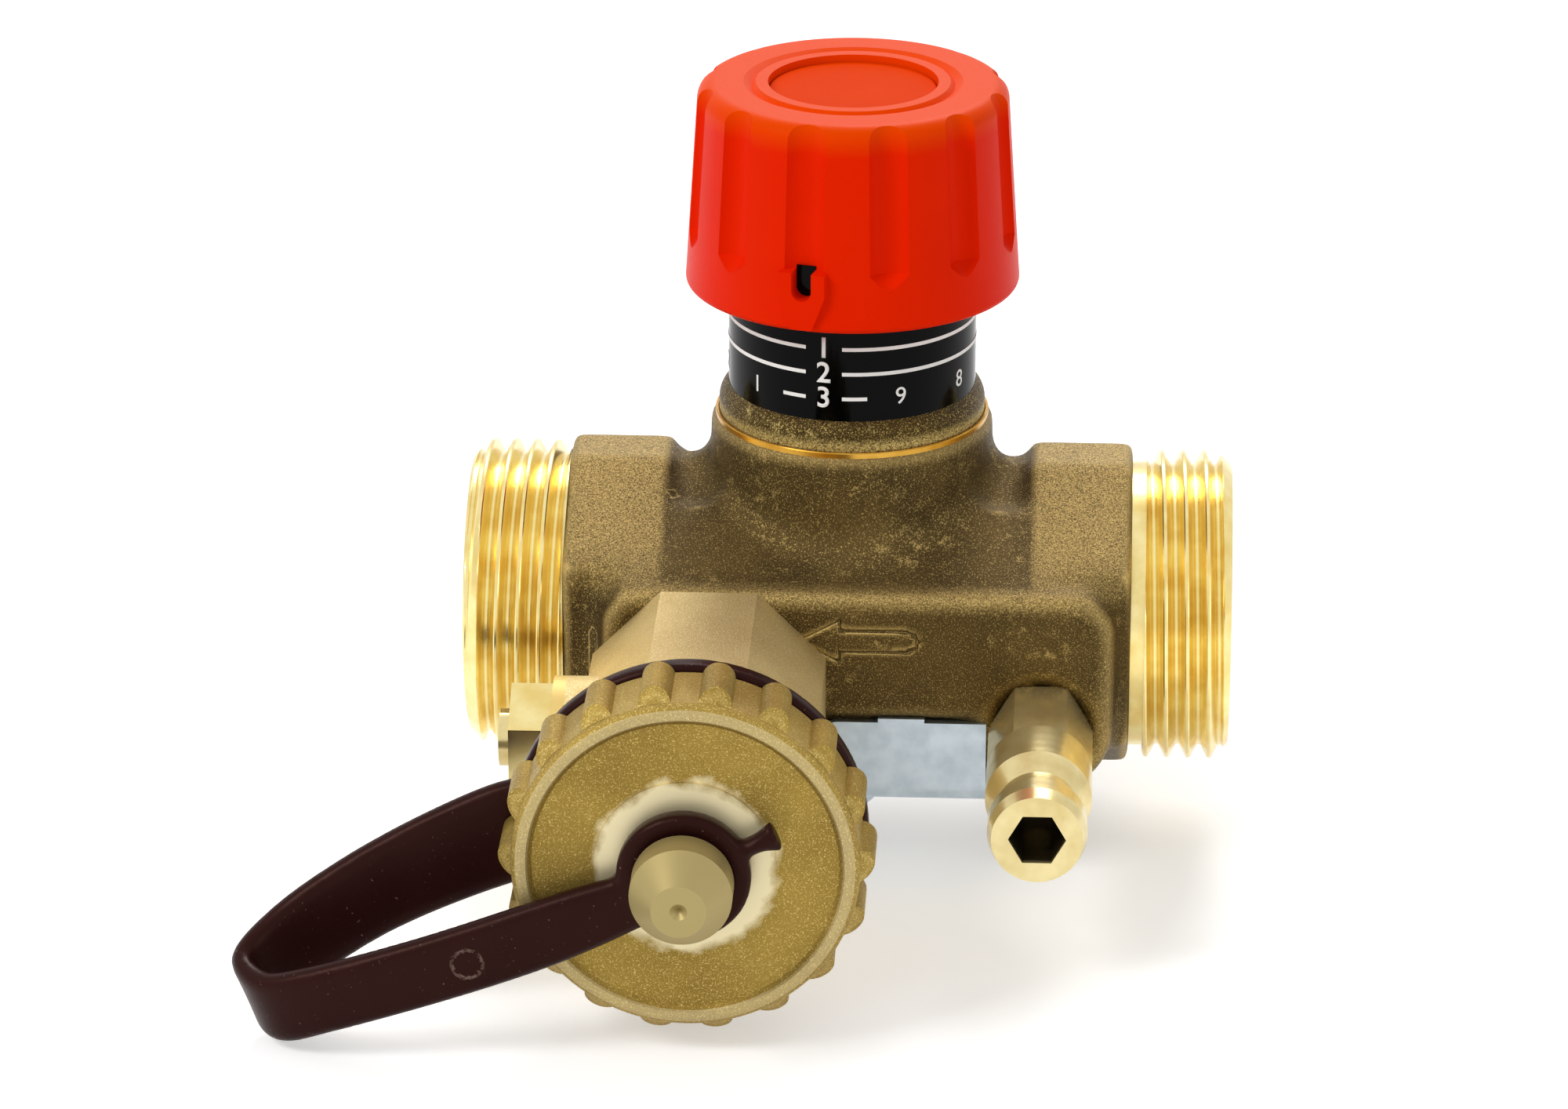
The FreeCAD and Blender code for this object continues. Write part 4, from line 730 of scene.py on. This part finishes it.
room = bmesh.ops.create_cone(form, cap_ends=True, segments=RING_STEPS, radius1=SEAL_ROOM * MM,
                             radius2=SEAL_ROOM * MM, depth=(ROOM_TOP - ROOM_BOTTOM) * MM)
bmesh.ops.translate(form, verts=room["verts"], vec=(0, 0, (ROOM_TOP + ROOM_BOTTOM) / 2 * MM))
form.to_mesh(tube)
form.free()
arrow_tool = new_piece("arrow_tool", tube)
groove = forged_body.modifiers.new("arrow", "BOOLEAN")
groove.object = arrow_tool
groove.operation = "DIFFERENCE"
groove.solver = "EXACT"
mesh = baked(forged_body)
bpy.data.objects.remove(arrow_tool)
coat(mesh, body_skin, smooth=True)
print("with its arrow:", len(mesh.polygons), "faces")

# %% [markdown]
# ## The neck's turned land
# Where the bonnet seats, the top of the neck is faced on a lathe. It shows as a thin bright ring between the forged
# skin and the bonnet's flange: a short tube with chamfered edges, sunk in the skin and a hair proud of it.

# %% Neck land
LAND_RING = ((11.34, 16.9), (11.34, 17.7), (11.38, 17.76), (11.55, 17.76), (11.62, 17.68), (11.62, 16.9))
neck_land = new_piece("neck_land")
form = bmesh.new()
join_rings(form, [[form.verts.new((r * math.cos(a) * MM, r * math.sin(a) * MM, z * MM)) for r, z in LAND_RING]
                  for a in ROUND_TURNS], "joined")
close_form(form, neck_land.data)
neck_land.data.shade_smooth()
neck_land.data.set_sharp_from_angle(angle=SHARP)
coat(neck_land.data, neck_brass)
print("neck land:", len(neck_land.data.polygons), "faces")

# %% [markdown]
# ## Threaded ends
# Both ends carry a 3/4 inch parallel pipe thread: 14 threads to the inch, a 55 degree V with its crest and root cut
# by a sixth. A thread is a shape that follows a rule, so Geometry Nodes build it: a flat grid of rows is rolled
# round the pipe, each row climbs by one pitch in a turn, and its radius follows the V. A lead chamfer trims the
# crests at the mouth. The rows follow the helix, so that every crest is a clean edge. The table lists the sums one by
# one, each with its name and its two terms.

# %% A thread built by nodes
V_HEIGHT = 1.742
MOUTH = 32.5
OUTLET_START, INLET_START = 25.2, 24.2
ROWS, ROWS_IN_TURN = 120, 20
SIZES = {"Start": OUTLET_START, "Mouth": MOUTH, "Crest radius": 13.2205, "Pitch": 1.814, "Depth": 1.162,
         "Chamfer": 1.3}
STEPS = (
    ("around", "ADD", "X", 0.5), ("angle", "MULTIPLY", "around", math.tau), ("row", "ADD", "Y", 0.5),
    ("climb", "MULTIPLY", "row", ROWS / ROWS_IN_TURN), ("climbed", "ADD", "climb", "around"),
    ("turns", "SUBTRACT", "climbed", 1.0), ("rise", "MULTIPLY", "turns", "Pitch"), ("raw", "ADD", "Start", "rise"),
    ("from_start", "MAXIMUM", "raw", "Start"), ("along", "MINIMUM", "from_start", "Mouth"),
    ("passed", "SUBTRACT", "along", "Start"), ("pitches", "DIVIDE", "passed", "Pitch"),
    ("phase", "SUBTRACT", "pitches", "around"), ("saw", "PINGPONG", "phase", 0.5),
    ("centred", "SUBTRACT", "saw", 0.25), ("vee", "MULTIPLY", "centred", V_HEIGHT * 2),
    ("half_depth", "MULTIPLY", "Depth", 0.5), ("deepest", "MULTIPLY", "half_depth", -1.0),
    ("low", "MAXIMUM", "vee", "deepest"), ("flank", "MINIMUM", "low", "half_depth"),
    ("middle", "SUBTRACT", "Crest radius", "half_depth"), ("cut_radius", "ADD", "middle", "flank"),
    ("to_mouth", "SUBTRACT", "Mouth", "along"), ("slope", "ADD", "Crest radius", "to_mouth"),
    ("lead", "SUBTRACT", "slope", "Chamfer"), ("radius", "MINIMUM", "cut_radius", "lead"),
    ("cosine", "COSINE", "angle", 0.0), ("across", "MULTIPLY", "radius", "cosine"),
    ("sine", "SINE", "angle", 0.0), ("high", "MULTIPLY", "radius", "sine"))

thread_tree = bpy.data.node_groups.new("pipe_thread", "GeometryNodeTree")
size_ids = {}
for name, value in SIZES.items():
    item = thread_tree.interface.new_socket(name, in_out="INPUT", socket_type="NodeSocketFloat")
    item.default_value = value
    size_ids[name] = item.identifier
thread_tree.interface.new_socket("Geometry", in_out="OUTPUT", socket_type="NodeSocketGeometry")
sizes = add(thread_tree, "NodeGroupInput")
grid = add(thread_tree, "GeometryNodeMeshGrid", {"Size X": 1.0, "Size Y": 1.0, "Vertices X": ROUND_STEPS + 1,
                                                 "Vertices Y": ROWS + 1})
place = add(thread_tree, "ShaderNodeSeparateXYZ", {0: add(thread_tree, "GeometryNodeInputPosition")})
known = {"X": place.outputs["X"], "Y": place.outputs["Y"], **{name: sizes.outputs[name] for name in SIZES}}
for name, operation, first, second in STEPS:
    known[name] = add(thread_tree, "ShaderNodeMath", {0: known.get(first, first), 1: known.get(second, second)},
                      operation=operation)
spot = add(thread_tree, "ShaderNodeCombineXYZ", {"X": known["along"], "Y": known["across"], "Z": known["high"]})
rolled = add(thread_tree, "GeometryNodeSetPosition", {"Geometry": grid, "Position": spot})
solid = add(thread_tree, "GeometryNodeRealizeInstances", {"Geometry": rolled})
coated = add(thread_tree, "GeometryNodeSetMaterial", {"Geometry": solid, "Material": thread_brass})
add(thread_tree, "NodeGroupOutput", {0: coated})
print("thread tree:", len(thread_tree.nodes), "nodes")

# %% [markdown]
# The rolled grid is only the outside of the pipe's end. Its seam is merged, its two rims are found, and rings of
# faces close it over the mouth, through the bore and back to the land beside the spanner shoulder.

# %% Pipe ends
BORE, BORE_CHAMFER = 7.5, 0.6
LAND, SHOULDER = 12.2, 24.0


def lathe(form, outline):
    """Rings of faces round the X axis through an outline of (along, radius) pairs, from first to last."""
    rings = [[form.verts.new((along, radius * math.cos(a), radius * math.sin(a))) for a in ROUND_TURNS]
             for along, radius in outline]
    return join_rings(form, rings, "open")


def pipe_end(name, start, side):
    """One threaded end: the nodes' thread, closed by its land, its bore and its mouth."""
    piece = new_piece(name)
    change = piece.modifiers.new("thread", "NODES")
    change.node_group = thread_tree
    for key, value in {**SIZES, "Start": start}.items():
        change[size_ids[key]] = value
    mesh = baked(piece)
    form = bmesh.new()
    form.from_mesh(mesh)
    bmesh.ops.remove_doubles(form, verts=form.verts, dist=1e-4)
    bmesh.ops.dissolve_degenerate(form, edges=form.edges, dist=1e-5)
    mouth = ((MOUTH, BORE + BORE_CHAMFER), (MOUTH - BORE_CHAMFER, BORE), (SHOULDER, BORE))
    for rim, outline in ((MOUTH, mouth), (start, ((start, LAND), (SHOULDER, LAND)))):
        edges = [e for e in form.edges if e.is_boundary and all(abs(v.co.x - rim) < 1e-3 for v in e.verts)]
        rings = lathe(form, outline)
        first = [form.edges.get((rings[0][i], rings[0][(i + 1) % ROUND_STEPS])) for i in range(ROUND_STEPS)]
        bmesh.ops.bridge_loops(form, edges=edges + first)
    last = [e for e in form.edges if e.is_boundary]
    bmesh.ops.bridge_loops(form, edges=last)
    form.transform(Matrix.Diagonal((side * MM, MM, MM, 1)))
    open_edges = sum(1 for e in form.edges if not e.is_manifold)
    close_form(form, mesh)
    mesh.set_sharp_from_angle(angle=SHARP)
    coat(mesh, thread_brass)
    print(name, len(mesh.polygons), "faces,", open_edges, "open edges")
    return piece


outlet_end = pipe_end("outlet_pipe_end", OUTLET_START, 1)
inlet_end = pipe_end("inlet_pipe_end", INLET_START, -1)

# %% [markdown]
# ## The printed scale
# The handwheel's rim comes down over the figures: whole turns stand in a column, tenths stand round the sleeve. The
# marks are pad printed, so they are thin islands of white that follow the cylinder. Figures start as flat text,
# become a mesh, are divided finely enough to bend, and are wrapped round the sleeve.

# %% Printed scale
SLEEVE = 10.5
PRINT_LIFT = 0.005
INK = 0.03
COLUMN = -11.0
TURN_ROWS = (26.6, 24.4, 22.2)
FIGURE_SHARE = 0.7
STRIPE_STEP = 3
STRIPE = 0.32


def wrapped(form, middle_angle, middle_height):
    """Gives a flat pattern its ink's thickness and bends it round the sleeve, in millimetres."""
    raised = bmesh.ops.extrude_face_region(form, geom=form.faces[:], use_keep_orig=True)["geom"]
    for item in raised:
        if isinstance(item, bmesh.types.BMVert):
            item.co.z += INK
    bmesh.ops.recalc_face_normals(form, faces=form.faces)
    for vert in form.verts:
        turn = math.radians(middle_angle) + vert.co.x / SLEEVE
        radius = SLEEVE + PRINT_LIFT + vert.co.z
        vert.co = Vector((radius * math.sin(turn), -radius * math.cos(turn), middle_height + vert.co.y)) * MM


def figure(text, height, boldness, middle_angle, middle_height):
    """One printed figure as a bmesh wrapped on the sleeve."""
    data = bpy.data.curves.new("figure", "FONT")
    data.body = text
    data.size = height / FIGURE_SHARE
    data.align_x = "CENTER"
    data.align_y = "CENTER"
    data.offset = boldness
    data.resolution_u = 6
    holder = new_piece("figure", data)
    form = bmesh.new()
    form.from_mesh(shape_of(holder))
    bpy.data.objects.remove(holder)
    bmesh.ops.triangulate(form, faces=form.faces)
    bmesh.ops.subdivide_edges(form, edges=[e for e in form.edges if e.calc_length() > 0.5], cuts=2)
    wrapped(form, middle_angle, middle_height)
    return form


def stripe(first_angle, last_angle, height):
    """A printed line round part of the sleeve, as a bmesh."""
    form = bmesh.new()
    steps = max(2, int((last_angle - first_angle) / STRIPE_STEP))
    length = math.radians(last_angle - first_angle) * SLEEVE
    for i in range(steps + 1):
        along = (i / steps - 0.5) * length
        form.verts.new((along, STRIPE / 2, 0))
        form.verts.new((along, -STRIPE / 2, 0))
    form.verts.ensure_lookup_table()
    for i in range(steps):
        form.faces.new([form.verts[2 * i + k] for k in (0, 1, 3, 2)])
    wrapped(form, (first_angle + last_angle) / 2, height)
    return form


marks = [figure(str(i + 1), 1.78, 0.04, COLUMN, row) for i, row in enumerate(TURN_ROWS)]
marks += [figure(str(i), 1.48, 0.0, COLUMN - 36 * i, TURN_ROWS[2]) for i in range(1, 10)]
marks += [stripe(COLUMN + 8.5, COLUMN + 351.5, row) for row in TURN_ROWS[:2]]
marks += [stripe(COLUMN - 20, COLUMN - 8.5, TURN_ROWS[2]), stripe(COLUMN + 8.5, COLUMN + 20, TURN_ROWS[2])]
scale_print = new_piece("scale_print")
whole = bmesh.new()
for form in marks:
    scratch = bpy.data.meshes.new("mark")
    form.to_mesh(scratch)
    form.free()
    whole.from_mesh(scratch)
    bpy.data.meshes.remove(scratch)
close_form(whole, scale_print.data)
coat(scale_print.data, scale_white)
print("printed marks:", len(marks))

# %% [markdown]
# ## The pointer's window
# Above the handwheel's pointer a small slot lets the black sleeve show through, so that the figure under it can be
# read. A thin black plate with the slot's outline stands just above its floor.

# %% Pointer window
WINDOW_TURN = math.radians(15.0)
WINDOW_OUT, WINDOW_THICK = 12.88, 0.1
WINDOW_HALF = 0.82
ARC_STEPS = 12
WINDOW_LOW, WINDOW_HIGH = 32.08, 34.72
outward = Vector((-math.sin(WINDOW_TURN), -math.cos(WINDOW_TURN), 0))
sideways = Vector((math.cos(WINDOW_TURN), -math.sin(WINDOW_TURN), 0))
low_arc = [(WINDOW_HALF * math.cos(a), WINDOW_LOW + WINDOW_HALF + WINDOW_HALF * math.sin(a))
           for a in [math.pi + math.pi * i / ARC_STEPS for i in range(ARC_STEPS + 1)]]
outline = low_arc + [(WINDOW_HALF, WINDOW_HIGH), (-WINDOW_HALF, WINDOW_HIGH)]
pointer_window = new_piece("pointer_window")
form = bmesh.new()
join_rings(form, [[form.verts.new((outward * out + sideways * u + Vector((0, 0, z))) * MM) for u, z in outline]
                  for out in (WINDOW_OUT, WINDOW_OUT + WINDOW_THICK)], "capped")
close_form(form, pointer_window.data)
coat(pointer_window.data, sleeve_black)
print("window:", len(pointer_window.data.polygons), "faces")

# %% [markdown]
# ## The retaining strap
# A soft plastic strap keeps the cap on the valve: a large ring behind the cap, a small ring on its pin, and a flat
# band that loops out to the left and sags under its own weight. The band is a flat section with round edges, swept
# along a smooth line through the points where the picture shows it. Its width runs from the wide rear root to the
# narrow front one. A short tab stands out of the small ring's other side, and one even skin joins all these parts.

# %% Retaining strap
STRAP_THICK = 1.9
STRAP_CELL = 0.28
RING_THICK, RING_EASE = 2.0, 0.35
BAND = (((-22.5, -42.1, -2.9), 8.8), ((-26.0, -42.2, -3.6), 8.7), ((-32.0, -42.4, -6.2), 8.1),
        ((-38.0, -42.9, -9.4), 7.5), ((-43.2, -44.2, -12.8), 7.2), ((-46.2, -47.0, -15.2), 6.8),
        ((-44.6, -50.3, -15.8), 6.3), ((-40.3, -51.8, -14.3), 5.9), ((-32.0, -52.2, -11.5), 5.8),
        ((-24.2, -52.0, -8.7), 5.8), ((-19.0, -51.8, -6.6), 5.4), ((-14.9, -51.7, -4.9), 4.6))
TAB = (((-7.6, -51.7, -1.0), 2.6), ((-6.4, -51.7, -0.4), 1.7), ((-5.2, -51.7, 0.2), 1.7), ((-3.9, -51.7, 0.8), 2.7))
BAND_STEPS = 10
SIDEWAYS = Vector((-0.36, 0.0, 0.93))


def smooth_line(points, steps):
    """Points along a Catmull-Rom curve; each point may have any number of values."""
    line = []
    padded = [points[0]] + list(points) + [points[-1]]
    for k in range(1, len(padded) - 2):
        p0, p1, p2, p3 = padded[k - 1:k + 3]
        for i in range(steps):
            t = i / steps
            line.append([0.5 * (2 * b + (c - a) * t + (2 * a - 5 * b + 4 * c - d) * t * t
                                + (3 * b - a - 3 * c + d) * t ** 3) for a, b, c, d in zip(p0, p1, p2, p3)])
    return line + [list(points[-1])]


def flat_section(width, thick, steps=6):
    """A flat strip's section with round edges, as (across, through) pairs."""
    r = thick / 2
    turns = [math.pi * i / steps - math.pi / 2 for i in range(steps + 1)]
    top = [(width / 2 - r + r * math.cos(a), r * math.sin(a)) for a in turns]
    return top + [(-u, -v) for u, v in top]


def swept(form, line, thick):
    """Sweeps the flat section along a line of (x, y, z, width) and closes both ends."""
    rings = []
    for i, (x, y, z, width) in enumerate(line):
        ahead, behind = line[min(i + 1, len(line) - 1)], line[max(i - 1, 0)]
        direction = Vector([a - b for a, b in zip(ahead[:3], behind[:3])]).normalized()
        across = (SIDEWAYS - direction * SIDEWAYS.dot(direction)).normalized()
        through = direction.cross(across)
        rings.append([form.verts.new(Vector((x, y, z)) + across * u + through * v)
                      for u, v in flat_section(width, thick)])
    join_rings(form, rings, "capped")


def eased_ring(form, middle, inner, outer, thick, ease):
    """A flat ring round the Y axis with eased edges."""
    profile = [(inner, -thick / 2 + ease), (inner + ease, -thick / 2), (outer - ease, -thick / 2),
               (outer, -thick / 2 + ease), (outer, thick / 2 - ease), (outer - ease, thick / 2),
               (inner + ease, thick / 2), (inner, thick / 2 - ease)]
    turns = [math.tau * i / RING_STEPS for i in range(RING_STEPS)]
    join_rings(form, [[form.verts.new((middle[0] + r * math.cos(a), middle[1] + y, middle[2] + r * math.sin(a)))
                       for r, y in profile] for a in turns], "joined")


strap = new_piece("strap")
form = bmesh.new()
for points in (BAND, TAB):
    swept(form, smooth_line([(*p, w) for p, w in points], BAND_STEPS), STRAP_THICK)
for forward, inner, outer in ((-42.15, 10.9, 14.4), (-51.7, 3.42, 5.4)):
    eased_ring(form, (DRAIN_AXIS[0], forward, DRAIN_AXIS[2]), inner, outer, RING_THICK, RING_EASE)
form.transform(Matrix.Scale(MM, 4))
close_form(form, strap.data)
skin = strap.modifiers.new("skin", "REMESH")
skin.mode = "VOXEL"
skin.voxel_size = STRAP_CELL * MM
ease = strap.modifiers.new("ease", "SMOOTH")
ease.iterations = 4
mesh = baked(strap)
coat(mesh, strap_brown, smooth=True)
print("strap:", len(mesh.polygons), "faces")

# %% [markdown]
# ## The pieces ride
# Each piece but the strap is tied to the body it moves with. The strap hangs from its large ring behind the cap, and
# its place is baked into its mesh.

# %% Ride and replace
for piece, slot_name in ((forged_body, "forged_brass"), (outlet_end, "turned_brass"), (inlet_end, "turned_brass"),
                         (neck_land, "turned_brass"), (scale_print, "black_plastic")):
    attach(piece, "valve")
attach(pointer_window, "wheel")
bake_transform(strap)
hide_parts("valve_body")
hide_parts("retaining_strap")
